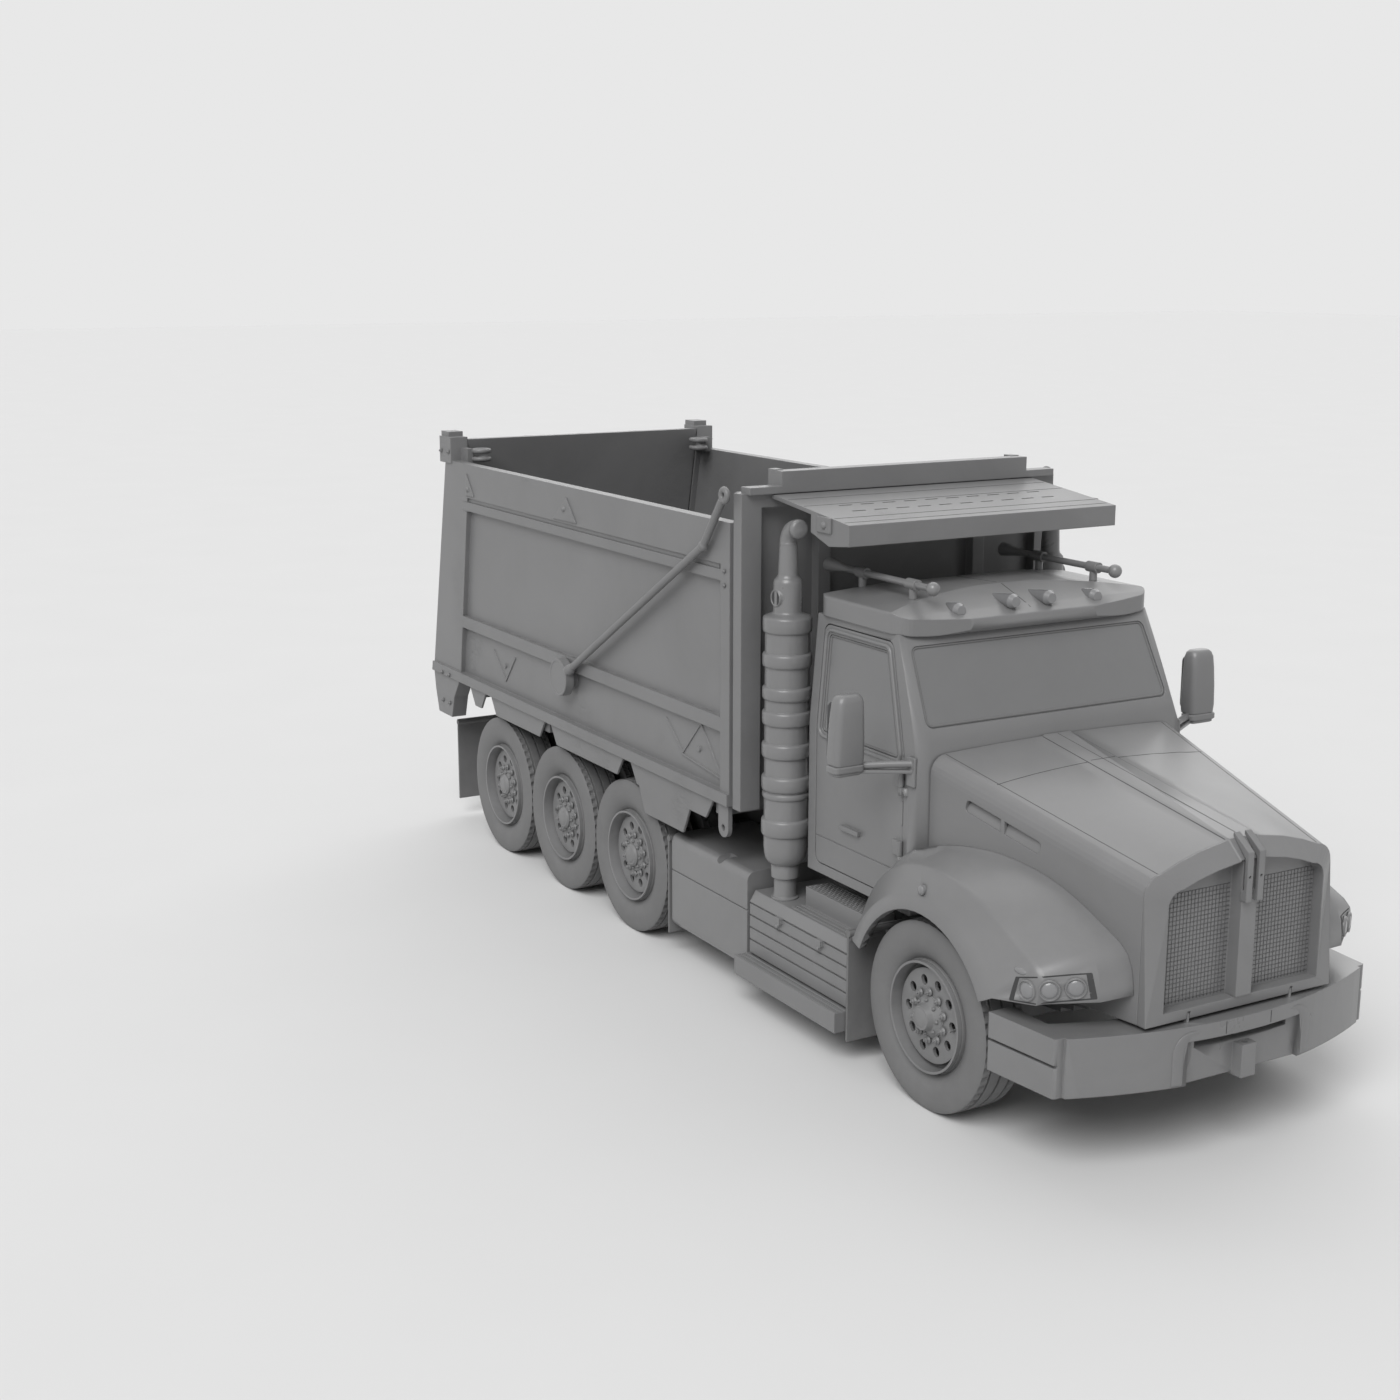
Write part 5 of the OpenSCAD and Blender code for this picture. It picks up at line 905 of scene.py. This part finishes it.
def drape(bm, name, corners, way, lift=0.0012, thick=0.003):
    """A thin patch that lies on a CAD node between four corners, seen along way."""
    a, b, c, d = (Vector(p) for p in corners)
    way = Vector(way).normalized()
    rows = [[touch(name, a.lerp(b, s).lerp(d.lerp(c, s), t) - way * REACH, way)[0] - way * lift
             for s in span(0, 1, 4)] for t in span(0, 1, 7)]
    rims = []
    for grid in [[[bm.verts.new(p + way * sink) for p in row] for row in rows] for sink in (thick, 0.0)]:
        skin(bm, grid, closed=False)
        rims.append(grid[0] + [r[-1] for r in grid[1:-1]] + grid[-1][::-1] + [r[0] for r in grid[-2:0:-1]])
    skin(bm, rims)


class TRUCK_OT_lamps(bpy.types.Operator):
    """Pockets of the front lamps with painted shade on their rims and ends, and bezels and domed lenses of the
    front lamps, side markers and tail lamps.
    """
    bl_idname = "truck.lamps"
    bl_label = "Lamps"

    def execute(self, context):
        rings, domes, lines = bmesh.new(), bmesh.new(), bmesh.new()
        for sign in SIDES.values():
            side = Vector((1, sign, 1))
            for x, y, z, yaw in LENS_PLACES:
                turn = math.radians(yaw)
                way = Vector((math.cos(turn), sign * math.sin(turn), 0))
                at = look_along(Vector((x, sign * y, z)) + way * 0.0075, way)
                lathe(rings, BEZEL, at, 36)
                lathe(domes, DOME, at, 36)
            corners = [(Vector(place) * side, Vector(LAMP_WAYS[part]) * side) for place, part in POCKET]
            for (a, out_a), (b, out_b) in zip(corners, corners[1:] + corners[:1]):
                spots = []
                for t in span(0, 1, 9):
                    out = out_a.lerp(out_b, t).normalized()
                    spots.append((touch("fenders", a.lerp(b, t) + out * REACH, -out)[0], out))
                ribbon(lines, spots, [out.cross(b - a) for _, out in spots], 0.009, 0.001, 0.003)
            for part, end in ((0.16, (0, 5)), (0.10, (2, 3))):
                top, low = (corners[k][0] for k in end)
                patch = (top, top.lerp(corners[1][0], part), low.lerp(corners[4][0], part), low)
                drape(lines, "fenders", patch, -corners[end[0]][1])
            at = look_along((2.820, sign * 1.174, 1.294), (0, sign, 0))
            lathe(domes, [(r * 0.59, h * 0.75) for r, h in DOME], at, 28)
            brow, _ = touch("fenders", (3.655, sign * 1.4, 1.088), (0, -sign, 0))
            lathe(domes, DOME, look_along(brow, (0.1, sign, 0.1)) @ Matrix.Diagonal((1.05, 0.40, 0.8, 1)), 28)
        add("lamp_bezels", rings, "bright", "hood")
        add("lamp_lenses", domes, "lamp", "hood")
        # The pocket's rim lines and end patches are near-black painted shade where the deep recess lies in shade.
        add("lamp_pockets", lines, "cab_paint", "hood", coat=shade())
        rings, domes = bmesh.new(), bmesh.new()
        for y in (-0.45, -0.33, 0.33, 0.45):
            at = look_along((-4.008, y, 0.915), BACK) @ Matrix.Diagonal((0.78, 0.78, 0.6, 1))
            lathe(rings, BEZEL, at, 28)
            lathe(domes, DOME, at, 28)
        add("tail_lamp_rings", rings, "bright", "chassis")
        add("tail_lamp_lenses", domes, "lamp", "chassis")
        return {"FINISHED"}


ARCH_LOW = 0.482
# Half width, crown height and corner radius of the bumper arch's inner and outer lines
ARCH_LINES = ((0.425, 0.735, 0.085), (0.492, 0.772, 0.120))


class TRUCK_OT_bumper_frame(bpy.types.Operator):
    """The raised arch round the bumper's middle, and painted shade lines for its seams at the joints of the upper
    strip.
    """
    bl_idname = "truck.bumper_frame"
    bl_label = "Bumper arch"

    def execute(self, context):
        def face(y, z):
            """The bumper's front there."""
            return touch("bumper", (4.5, y, z), BACK)[0].x

        lines = []
        for half, crown, radius in ARCH_LINES:
            line = []
            for sign, turns in ((-1, span(PI, PI / 2, 8)), (1, span(PI / 2, 0, 8))):
                side = [(sign * half, z) for z in span(ARCH_LOW, crown - radius, 6)]
                arc = [(sign * (half - radius) + radius * math.cos(a), crown - radius + radius * math.sin(a))
                       for a in turns]
                line += side + arc if sign < 0 else arc + side[::-1]
            lines.append(line)
        rings = []
        for (ya, za), (yb, zb) in zip(*lines):
            # The bumper's face is read just outside the inner line, clear of the recess within it
            near_y = math.copysign(0.43, ya) if abs(ya) > 0.3 else ya
            near_z = max(za, 0.73) if abs(ya) < 0.42 else za
            xa, xb = face(near_y, near_z), face(yb, zb)
            rings.append(((xb - 0.004, yb, zb), (xb + 0.005, yb * 0.99 + ya * 0.01, zb),
                          (xb + 0.008, yb * 0.8 + ya * 0.2, zb * 0.8 + za * 0.2),
                          (xa + 0.006, yb * 0.15 + ya * 0.85, zb * 0.15 + za * 0.85),
                          (xa + 0.002, ya, za), (xa - 0.030, ya, za)))
        bm = bmesh.new()
        loft(bm, rings)
        add("bumper_arch", bm, "cab_paint", "chassis")
        bm = bmesh.new()
        for y in (-0.16, 0.16):
            seam(bm, "bumper", [(4.5, y, z) for z in span(0.724, 0.792, 4)], BACK)
        # The joint lines are near-black painted shade, not gaps cut in the bumper.
        add("bumper_seams", bm, "cab_paint", "chassis", coat=shade())
        return {"FINISHED"}


def hull(points):
    """The convex outline of flat points, anticlockwise."""
    pts = sorted(set((round(a, 5), round(b, 5)) for a, b in points))

    def half(run):
        """One side of the outline."""
        out = []
        for p in run:
            while len(out) > 1 and ((out[-1][0] - out[-2][0]) * (p[1] - out[-2][1])
                                    - (out[-1][1] - out[-2][1]) * (p[0] - out[-2][0])) <= 1e-9:
                out.pop()
            out.append(p)
        return out[:-1]

    return half(pts) + half(pts[::-1])


def evened(outline, step=0.03):
    """A closed outline with points at even steps."""
    out = []
    for (a, b), (c, d) in zip(outline, outline[1:] + outline[:1]):
        parts = max(1, round(math.hypot(c - a, d - b) / step))
        out += [(a + (c - a) * i / parts, b + (d - b) * i / parts) for i in range(parts)]
    return out


def grown(outline, by):
    """A convex anticlockwise outline moved outwards."""
    out = []
    for i, (c, d) in enumerate(outline):
        (a, b), (e, f) = outline[i - 1], outline[(i + 1) % len(outline)]
        ways = []
        for p, q in ((c - a, d - b), (e - c, f - d)):
            far = math.hypot(p, q) or 1
            ways.append((q / far, -p / far))
        x, y = ways[0][0] + ways[1][0], ways[0][1] + ways[1][1]
        far = (x * x + y * y) / 2 or 1
        out.append((c + by * x / far, d + by * y / far))
    return out


SEAL_IN, FRAME_OUT, FRAME_R = -0.010, 0.026, 0.013
PANE_MID = (1.9, 2.2)


class TRUCK_OT_seals(bpy.types.Operator):
    """Rubber seals round every pane, and the raised frames round the door windows."""
    bl_idname = "truck.seals"
    bl_label = "Seals"

    def execute(self, context):
        r = context.scene.truck_fittings.seal_r
        for side, sign in SIDES.items():
            pane, door = "door_glass_" + side, "door_" + side
            way = (0, -sign, 0)
            outline = hull([(v.co.x, v.co.z) for v in frame["nodes"][pane].data.vertices])
            starts = [(x * 0.999 + 0.001 * PANE_MID[0], sign * 2, z * 0.999 + 0.001 * PANE_MID[1])
                      for x, z in grown(evened(outline), SEAL_IN)]
            ring = [touch(pane, start, way)[0] for start in starts]
            bm = bmesh.new()
            tube(bm, ring, r, 8, closed=True)
            add("door_seal_" + side, bm, "flap", body_of(door))
            bm = bmesh.new()
            spots = []
            for x, z in evened(grown(outline, FRAME_OUT)):
                found, _ = meet(door, (x, sign * 2, z), way)
                on_face = found is not None and abs(found.y) > 0.85
                spots.append(found + Vector((0, sign * 0.002, 0)) if on_face else None)
            if None in spots:
                start = spots.index(None)
                run = []
                for s in [*spots[start:], *spots[:start], None]:
                    if s is not None:
                        run.append(s)
                    elif len(run) > 2:
                        tube(bm, run, FRAME_R)
                        run = []
            else:
                tube(bm, spots, FRAME_R, closed=True)
            add("door_frame_" + side, bm, "cab_paint", body_of(door))
        bm = bmesh.new()
        verts = [v.co for v in frame["nodes"]["cab_glass"].data.vertices]
        for front, start, way in ((True, 3.5, -1), (False, 0.5, 1)):
            outline = grown(hull([(c.y, c.z) for c in verts if (c.x > PANE_MID[0]) == front]), SEAL_IN)
            ring = [touch("cab_glass", (start, y, z), (way, 0, 0))[0] for y, z in evened(outline)]
            tube(bm, ring, r, 8, closed=True)
        add("screen_seals", bm, "flap", "chassis")
        return {"FINISHED"}


def soft_rect(cx, cy, hx, hy, r, steps=4):
    """A rounded rectangle's points."""
    out = []
    for i, (sx, sy) in enumerate(((1, 1), (-1, 1), (-1, -1), (1, -1))):
        for k in range(steps + 1):
            a = PI / 2 * (i + k / steps)
            out.append((cx + sx * (hx - r) + r * math.cos(a), cy + sy * (hy - r) + r * math.sin(a)))
    return out


MIRROR_X, MIRROR_Y = 2.287, 1.3265
# Height, half length, half width, corner radius and shift towards the cab
MIRROR_HOUSING = ((1.906, 0.050, 0.086, 0.024, 0.0), (1.914, 0.058, 0.096, 0.030, 0.0),
                  (1.960, 0.062, 0.101, 0.034, 0.0), (2.080, 0.062, 0.099, 0.036, 0.002),
                  (2.200, 0.060, 0.094, 0.038, 0.005), (2.270, 0.057, 0.089, 0.040, 0.008),
                  (2.298, 0.050, 0.080, 0.040, 0.010), (2.311, 0.038, 0.066, 0.034, 0.011),
                  (2.315, 0.020, 0.046, 0.019, 0.012))
# Bottom, top, half length, half width and corner radius of the base's steps, and how far they sit forward and
# outward, clear of the open door's frame
MIRROR_BASE = ((1.868, 1.909, 0.0545, 0.103, 0.026), (1.849, 1.872, 0.046, 0.086, 0.018))
BASE_AHEAD, BASE_OUT, BASE_EDGE = 0.0065, 0.005, 0.006
MIRROR_ARM = ((2.290, 1.250, 1.892), (2.315, 1.205, 1.894), (2.385, 1.095, 1.902), (2.440, 1.008, 1.905),
              (2.455, 0.984, 1.905))


class TRUCK_OT_mirrors(bpy.types.Operator):
    """Mirror housings with a stepped base, glass, round upper arm and flat lower arm."""
    bl_idname = "truck.mirrors"
    bl_label = "Mirrors"

    def execute(self, context):
        bm, glass = bmesh.new(), bmesh.new()
        for sign in SIDES.values():
            loft(bm, [[(x, sign * (y - inward), z) for x, y in soft_rect(MIRROR_X, MIRROR_Y, a, b, r)]
                      for z, a, b, r, inward in MIRROR_HOUSING])
            cx, cy = MIRROR_X + BASE_AHEAD, MIRROR_Y + BASE_OUT
            for low, top, a, b, r in MIRROR_BASE:
                loft(bm, [[(x, sign * y, z) for x, y in soft_rect(cx, cy, a - e, b - e, r)]
                          for z, e in ((low, BASE_EDGE), (low + BASE_EDGE, 0), (top - BASE_EDGE, 0),
                                       (top, BASE_EDGE))])
            tube(bm, [(x, sign * y, z) for x, y, z in MIRROR_ARM], 0.0215, 14)
            way = Vector((2.455 - 2.30, sign * (0.985 - 1.24), 0))
            at = look_along(Vector((2.30, sign * 1.24, 1.862)) + way / 2, way)
            brick(bm, (0.046, 0.020, way.length), at, 0.006, 3)
            brick(bm, (0.078, 0.0175, 0.172), shift(2.455, sign * 0.9885, 1.859), 0.007, 3)
            slab(glass, soft_rect(0, 0, 0.086, 0.165, 0.03), 0.0024,
                 look_along((2.2245, sign * MIRROR_Y, 2.10), BACK) @ shift(0, 0, -0.0004), 0.001)
        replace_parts(add("mirror_housings", bm, SLOTS["mirrors"], "chassis"), "mirrors")
        add("mirror_glass", glass, "pane", "chassis")
        return {"FINISHED"}


STACK_X, STACK_Y, STACK_R, BEND_R, BEND_Z = 1.175, 1.02, 0.138, 0.095, 3.01
# Turned lines of a stack, as (radius, height): foot, neck, lip of the tip, and ring of the opening and the disc
# of painted shade inside it
STACK_FOOT = [(0.0, 0.752), (0.087, 0.752), (0.087, 0.763), (0.074, 0.769), (0.071, 0.80), (0.070, 0.885),
              (0.080, 0.890), (0.088, 0.894), (0.089, 0.972), (0.086, 0.978), (0.096, 0.984), (0.112, 0.996),
              (0.127, 1.020), (0.135, 1.055), (STACK_R, 1.10)]
STACK_NECK = [(STACK_R - 0.01, 2.566), (0.108, 2.574), (0.094, 2.580), (0.090, 2.592), (0.090, 2.762),
              (0.086, 2.782), (0.074, 2.795), (0.066, 2.803), (0.062, 2.82), (0.056, 2.96), (0.054, BEND_Z),
              (0.0, BEND_Z)]
STACK_LIP = [(0.0, 0.044), (0.030, 0.044), (0.046, 0.042), (0.056, 0.036), (0.0585, 0.026), (0.0585, 0.002),
             (0.053, -0.004), (0.0, -0.004)]
STACK_RING = [(0.044, -0.02), (0.044, 0.0015), (0.047, 0.005), (0.052, 0.005), (0.057, -0.002),
              (0.057, -0.022), (0.044, -0.02)]
STACK_SHADE_DISC = [(0.0, 0.0012), (0.045, 0.0012), (0.045, -0.01), (0.0, -0.01)]
# Height of each band's bottom and top on a stack, and how far it stands out
STACK_BANDS = ((1.174, 1.280, 0.016), (1.415, 1.452, 0.010), (1.465, 1.558, 0.016), (1.676, 1.768, 0.016),
               (1.883, 1.970, 0.015), (2.043, 2.122, 0.015), (2.248, 2.333, 0.015), (2.462, 2.560, 0.014))


class TRUCK_OT_stacks(bpy.types.Operator):
    """Turned exhaust stacks with rounded bands, a bowl foot, a collar with its opening, whose inside is a disc of
    painted shade, and a bent tip.
    """
    bl_idname = "truck.stacks"
    bl_label = "Stacks"

    def execute(self, context):
        line = list(STACK_FOOT)
        for low, top, out in STACK_BANDS:
            e = min(0.022, (top - low) * 0.3)
            line += [(STACK_R, low - 0.002), (STACK_R + out * 0.75, low + e * 0.15),
                     (STACK_R + out, low + e * 0.6), (STACK_R + out + 0.001, (low + top) / 2),
                     (STACK_R + out, top - e * 0.6), (STACK_R + out * 0.75, top - e * 0.15),
                     (STACK_R, top + 0.002)]
        line = line[:-1] + STACK_NECK
        bm, dark = bmesh.new(), bmesh.new()
        tip_x, tip_z = STACK_X + BEND_R, BEND_Z + BEND_R
        for sign in SIDES.values():
            y = sign * STACK_Y
            lathe(bm, line, shift(STACK_X, y, 0), 48)
            arc = [(tip_x - BEND_R * math.cos(a), y, BEND_Z + BEND_R * math.sin(a))
                   for a in span(0, PI / 2, 12)]
            tube(bm, [(STACK_X, y, 3.0), *arc, (tip_x + 0.03, y, tip_z)], 0.0535, 32)
            lathe(bm, STACK_LIP, look_along((tip_x, y, tip_z), (1, 0, 0)), 32)
            hole = look_along((STACK_X, sign * (STACK_Y + 0.0875), 2.675), (0, sign, 0))
            lathe(bm, STACK_RING, hole, 32)
            # A near-black disc of painted shade inside the collar's opening.
            lathe(dark, STACK_SHADE_DISC, hole, 32)
        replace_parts(add("turned_stacks", bm, SLOTS["exhaust_stacks"], "chassis", smooth=50), "exhaust_stacks")
        add("stack_mouths", dark, "chassis", "chassis", coat=shade())
        return {"FINISHED"}


# Place of each tread plate, then its columns, rows, length, width, stud length and stud height
STEP_PLATES = (((1.5125, 1.198, 0.3297), (58, 5, 1.13, 0.072, 0.011, 0.0045)),
               ((1.7125, 0.893, 0.8717), (34, 8, 0.65, 0.150, 0.012, 0.004)),
               ((1.70, 1.048, 0.7517), (34, 5, 0.66, 0.070, 0.012, 0.004)))
PLATE_SIZES = ("Columns", "Rows", "Length", "Width", "Stud", "Height")
BOX_REAR, BOX_LENGTH = 0.965, 1.11


class TRUCK_OT_steps(bpy.types.Operator):
    """Tread plate on the steps, and the latches' levers."""
    bl_idname = "truck.steps"
    bl_label = "Step plates"

    def execute(self, context):
        plates = [(place, grow(tread_plate_tree, "chassis", **dict(zip(PLATE_SIZES, sizes))))
                  for place, sizes in STEP_PLATES]
        treads = gather(bmesh.new(), [(mesh, shift(x, sign * y, z)) for sign in SIDES.values()
                                      for (x, y, z), mesh in plates])
        add("step_tread", treads, SLOTS["step_boxes"], "chassis", smooth=60)
        bm = bmesh.new()
        for sign in SIDES.values():
            for part in (0.3, 0.72):
                at = shift(BOX_REAR + BOX_LENGTH * part + 0.03, sign * 1.170, 0.662)
                brick(bm, (0.052, 0.012, 0.050), at, 0.005, 3)
                brick(bm, (0.034, 0.012, 0.022), at @ shift(0, sign * 0.008, -0.030), 0.005, 3)
        add("latch_levers", bm, SLOTS["step_boxes"], "chassis")
        return {"FINISHED"}


BAND_Y = 1.2145
# Corners of each three-cornered plate and the place of its knob, as (forward, up)
BODY_PLATES = ((((-1.508, 3.020), (-1.730, 2.848), (-1.352, 2.852)), (-1.545, 2.935)),
               (((-3.345, 3.025), (-3.372, 2.850), (-3.205, 2.852)), (-3.312, 2.900)))
BODY_KNOB = [(0.0, 0.030), (0.010, 0.029), (0.017, 0.024), (0.020, 0.016), (0.022, 0.008), (0.0, 0.008)]
SHIELD_KNOB = [(0.0, 0.022), (0.012, 0.021), (0.019, 0.015), (0.022, 0.006), (0.0, 0.006)]


class TRUCK_OT_bed_marks(bpy.types.Operator):
    """Raised three-cornered plates with knobs on the body's top bands, and the plate beside each stack."""
    bl_idname = "truck.bed_marks"
    bl_label = "Body plates"

    def execute(self, context):
        plates, ends = bmesh.new(), bmesh.new()
        for sign in SIDES.values():
            out = (0, sign, 0)
            at = Matrix(((1, 0, 0, 0), (0, 0, sign, sign * BAND_Y), (0, 1, 0, 0), (0, 0, 0, 1)))
            for corners, (x, z) in BODY_PLATES:
                slab(plates, corners, 0.012, at, 0.005)
                lathe(plates, BODY_KNOB, look_along((x, sign * BAND_Y, z), out), 20)
            brick(ends, (0.150, 0.014, 0.095), shift(1.555, sign * 1.0105, 3.160), 0.005, 3)
            lathe(ends, SHIELD_KNOB, look_along((1.560, sign * 1.012, 3.158), out), 20)
        add("body_plates", plates, "body_steel", "bed")
        add("shield_plates", ends, "body_steel", "bed")
        return {"FINISHED"}


BOLT_SPREAD = 0.15


class TRUCK_OT_bed_bolts(bpy.types.Operator):
    """Bolts on the rear caps, post feet and front posts of the body."""
    bl_idname = "truck.bed_bolts"
    bl_label = "Body bolts"

    def execute(self, context):
        r = context.scene.truck_fittings.bolt_r
        two = grow(bolt_row_tree, "body_steel", Count=2, Length=BOLT_SPREAD, Radius=r, Height=0.012)
        one = grow(bolt_row_tree, "body_steel", Count=1, Length=0.0, Radius=r * 0.8, Height=0.01)
        parts = []
        for sign in SIDES.values():
            for x, z, mesh, aside in ((-3.84, 3.172, two, 0.07), (-3.98, 1.052, two, 0.07),
                                      (-3.94, 1.30, two, 0.07), (0.745, 2.70, one, 0), (0.745, 2.79, one, 0)):
                found = touch("bed_sides", (x + aside, sign * 2, z), (0, -sign, 0))[0]
                at = look_along((x, found.y, z), (0, sign, 0))
                if aside and at.col[0].x < 0:
                    at = at @ Matrix.Rotation(PI, 4, "Z")
                parts.append((mesh, at))
        add("body_bolts", gather(bmesh.new(), parts), "body_steel", "bed")
        return {"FINISHED"}


# Height of each rail edge, and on which side of it the bead lies
RAIL_EDGES = ((2.795, 0.007), (2.725, -0.007), (1.845, 0.007), (1.750, -0.007))


class TRUCK_OT_welds(bpy.types.Operator):
    """Uneven weld beads along the rails of the body's sides, and the strip under each top band."""
    bl_idname = "truck.welds"
    bl_label = "Weld beads"

    def execute(self, context):
        bead = context.scene.truck_fittings.bead
        bm = bmesh.new()
        for sign in SIDES.values():
            for z, away in RAIL_EDGES:
                points = []
                for x in span(-3.45, 0.655, 104):
                    found, _ = meet("bed_sides", (x, sign * 2, z + away), (0, -sign, 0))
                    if found is not None:
                        wave = 0.0016 * math.sin(7.3 * len(points) + z)
                        points.append((x, found.y, z + away * 0.45 + wave))
                tube(bm, points, bead, 6)
            brick(bm, (4.105, 0.028, 0.040), shift(-1.3975, sign * 1.188, 2.8125))
        add("weld_beads", bm, "body_steel", "bed", smooth=70)
        return {"FINISHED"}


class TRUCK_OT_shield_lines(bpy.types.Operator):
    """Painted shade lines along the pressed creases of the cab shield."""
    bl_idname = "truck.shield_lines"
    bl_label = "Shield creases"

    def execute(self, context):
        bm = bmesh.new()
        for x in (1.12, 1.30, 1.63, 1.74):
            seam(bm, "cab_shield", [(x, y, 4) for y in span(-0.99, 0.99, 20)], DOWN, 0.007)
        # The crease lines are near-black painted shade, not grooves cut in the shield.
        add("shield_creases", bm, "body_steel", "bed", coat=shade())
        return {"FINISHED"}


# Forward place and height of a tarp arm's foot and elbow, and turned lines of its collar and its hub's ring
ARM_FOOT, ARM_ELBOW = (-1.545, 1.70), (0.555, 2.93)
ARM_COLLAR = [(0.026, -0.045), (0.036, -0.040), (0.041, -0.028), (0.041, 0.002), (0.036, 0.010),
              (0.036, 0.030), (0.033, 0.040), (0.026, 0.046)]
ARM_RING = [(0.137, -0.010), (0.1395, -0.006), (0.138, 0.0015), (0.132, 0.004), (0.126, 0.004),
            (0.120, 0.001), (0.118, -0.004), (0.137, -0.010)]


class TRUCK_OT_arm_collars(bpy.types.Operator):
    """Collars at the feet of the tarp arms and rings on their hubs."""
    bl_idname = "truck.arm_collars"
    bl_label = "Arm collars"

    def execute(self, context):
        for side, sign in SIDES.items():
            bm = bmesh.new()
            foot, elbow = (Vector((x, sign * 1.262, z)) for x, z in (ARM_FOOT, ARM_ELBOW))
            way = (elbow - foot).normalized()
            lathe(bm, ARM_COLLAR, look_along(foot + way * 0.165, way, (0, 1, 0)), 24)
            lathe(bm, ARM_RING, look_along((ARM_FOOT[0], sign * 1.293, ARM_FOOT[1]), (0, sign, 0)), 48)
            add("arm_collar_" + side, bm, "body_steel", body_of("tarp_arm_" + side))
        return {"FINISHED"}


FLAP_TOP, FLAP_BOLTS = 0.800, 0.36
# Forward place, side place and the way that each flap's clamp looks
FLAP_PLACES = ((2.110, 0.967, 1), (-0.112, 0.88, 1), (-4.050, 0.814, -1))


class TRUCK_OT_flap_bolts(bpy.types.Operator):
    """Bolt rows and clamp strips at the tops of the mud flaps."""
    bl_idname = "truck.flap_bolts"
    bl_label = "Flap bolts"

    def execute(self, context):
        bm = bmesh.new()
        row = grow(bolt_row_tree, "chassis", Count=4, Length=FLAP_BOLTS, Radius=0.011, Height=0.009)
        parts = []
        for sign in SIDES.values():
            for x, y, way in FLAP_PLACES:
                found, _ = touch("mud_flaps", (x + way * 0.3, sign * y, FLAP_TOP), (-way, 0, 0))
                brick(bm, (0.006, 0.40, 0.045), shift(found.x + way * 0.003, sign * y, FLAP_TOP), 0.002)
                at = look_along((found.x + way * 0.006, sign * y, FLAP_TOP), (way, 0, 0))
                parts.append((row, at @ shift(-FLAP_BOLTS / 2, 0, 0)))
        add("flap_clamps", gather(bm, parts), "chassis", "chassis")
        return {"FINISHED"}


SEAT_Y, SEAT_LEAN = 0.44, -0.105


class TRUCK_OT_seats(bpy.types.Operator):
    """Upholstered seats on their stands."""
    bl_idname = "truck.seats"
    bl_label = "Seats"

    def execute(self, context):
        stands = bmesh.new()
        for side, sign in SIDES.items():
            y = sign * SEAT_Y
            bm = bmesh.new()
            back = shift(1.650, y, 1.735) @ Matrix.Rotation(SEAT_LEAN, 4, "Y")
            brick(bm, (0.40, 0.44, 0.145), shift(1.815, y, 1.345), 0.055, 5)
            for edge in (-1, 1):
                brick(bm, (0.36, 0.075, 0.10), shift(1.815, y + edge * 0.198, 1.372), 0.036, 4)
            brick(bm, (0.125, 0.44, 0.66), back, 0.05, 5)
            for edge in (-1, 1):
                brick(bm, (0.10, 0.075, 0.56), back @ shift(0.035, edge * 0.195, -0.02), 0.034, 4)
            brick(bm, (0.095, 0.27, 0.155), back @ shift(-0.005, 0, 0.345), 0.042, 5)
            add("seat_cushions_" + side, bm, "cabin_trim", "chassis", smooth=60)
            brick(stands, (0.25, 0.25, 0.235), shift(1.82, y, 1.164), 0.012, 3)
            brick(stands, (0.36, 0.40, 0.03), shift(1.815, y, 1.272), 0.008, 3)
        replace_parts(add("seat_stands", stands, "chassis", "chassis"), "seats")
        return {"FINISHED"}


class TRUCK_PT_panel(bpy.types.Panel):
    """The truck's settings and pieces."""
    bl_idname = "TRUCK_PT_panel"
    bl_label = "Truck"
    bl_space_type = "VIEW_3D"
    bl_region_type = "UI"
    bl_category = "Truck"

    def draw(self, context):
        for setting in SETTINGS:
            owner = getattr(context.scene, setting)
            box = self.layout.box()
            for name in owner.__annotations__:
                box.prop(owner, name)
        for kind in STEPS:
            self.layout.operator(kind.bl_idname)


STEPS = (TRUCK_OT_finishes, TRUCK_OT_tyres, TRUCK_OT_wheel_nuts, TRUCK_OT_panels, TRUCK_OT_hood_seams,
         TRUCK_OT_vents, TRUCK_OT_screens, TRUCK_OT_lamps, TRUCK_OT_bumper_frame, TRUCK_OT_seals,
         TRUCK_OT_mirrors, TRUCK_OT_stacks, TRUCK_OT_steps, TRUCK_OT_bed_marks, TRUCK_OT_bed_bolts,
         TRUCK_OT_welds, TRUCK_OT_shield_lines, TRUCK_OT_arm_collars, TRUCK_OT_flap_bolts, TRUCK_OT_seats,
         TRUCK_OT_stage)
SETTINGS = {"truck_paint": TruckPaint, "truck_fittings": TruckFittings, "truck_stage": TruckStage}


def register():
    for kind in (*SETTINGS.values(), *STEPS, TRUCK_PT_panel):
        bpy.utils.register_class(kind)
    for name, kind in SETTINGS.items():
        setattr(bpy.types.Scene, name, bpy.props.PointerProperty(type=kind))


def unregister():
    for name in SETTINGS:
        delattr(bpy.types.Scene, name)
    for kind in (TRUCK_PT_panel, *reversed(STEPS), *SETTINGS.values()):
        bpy.utils.unregister_class(kind)


def main():
    register()
    for kind in STEPS:
        space, name = kind.bl_idname.split(".")
        getattr(getattr(bpy.ops, space), name)()


if __name__ == "__main__":
    main()
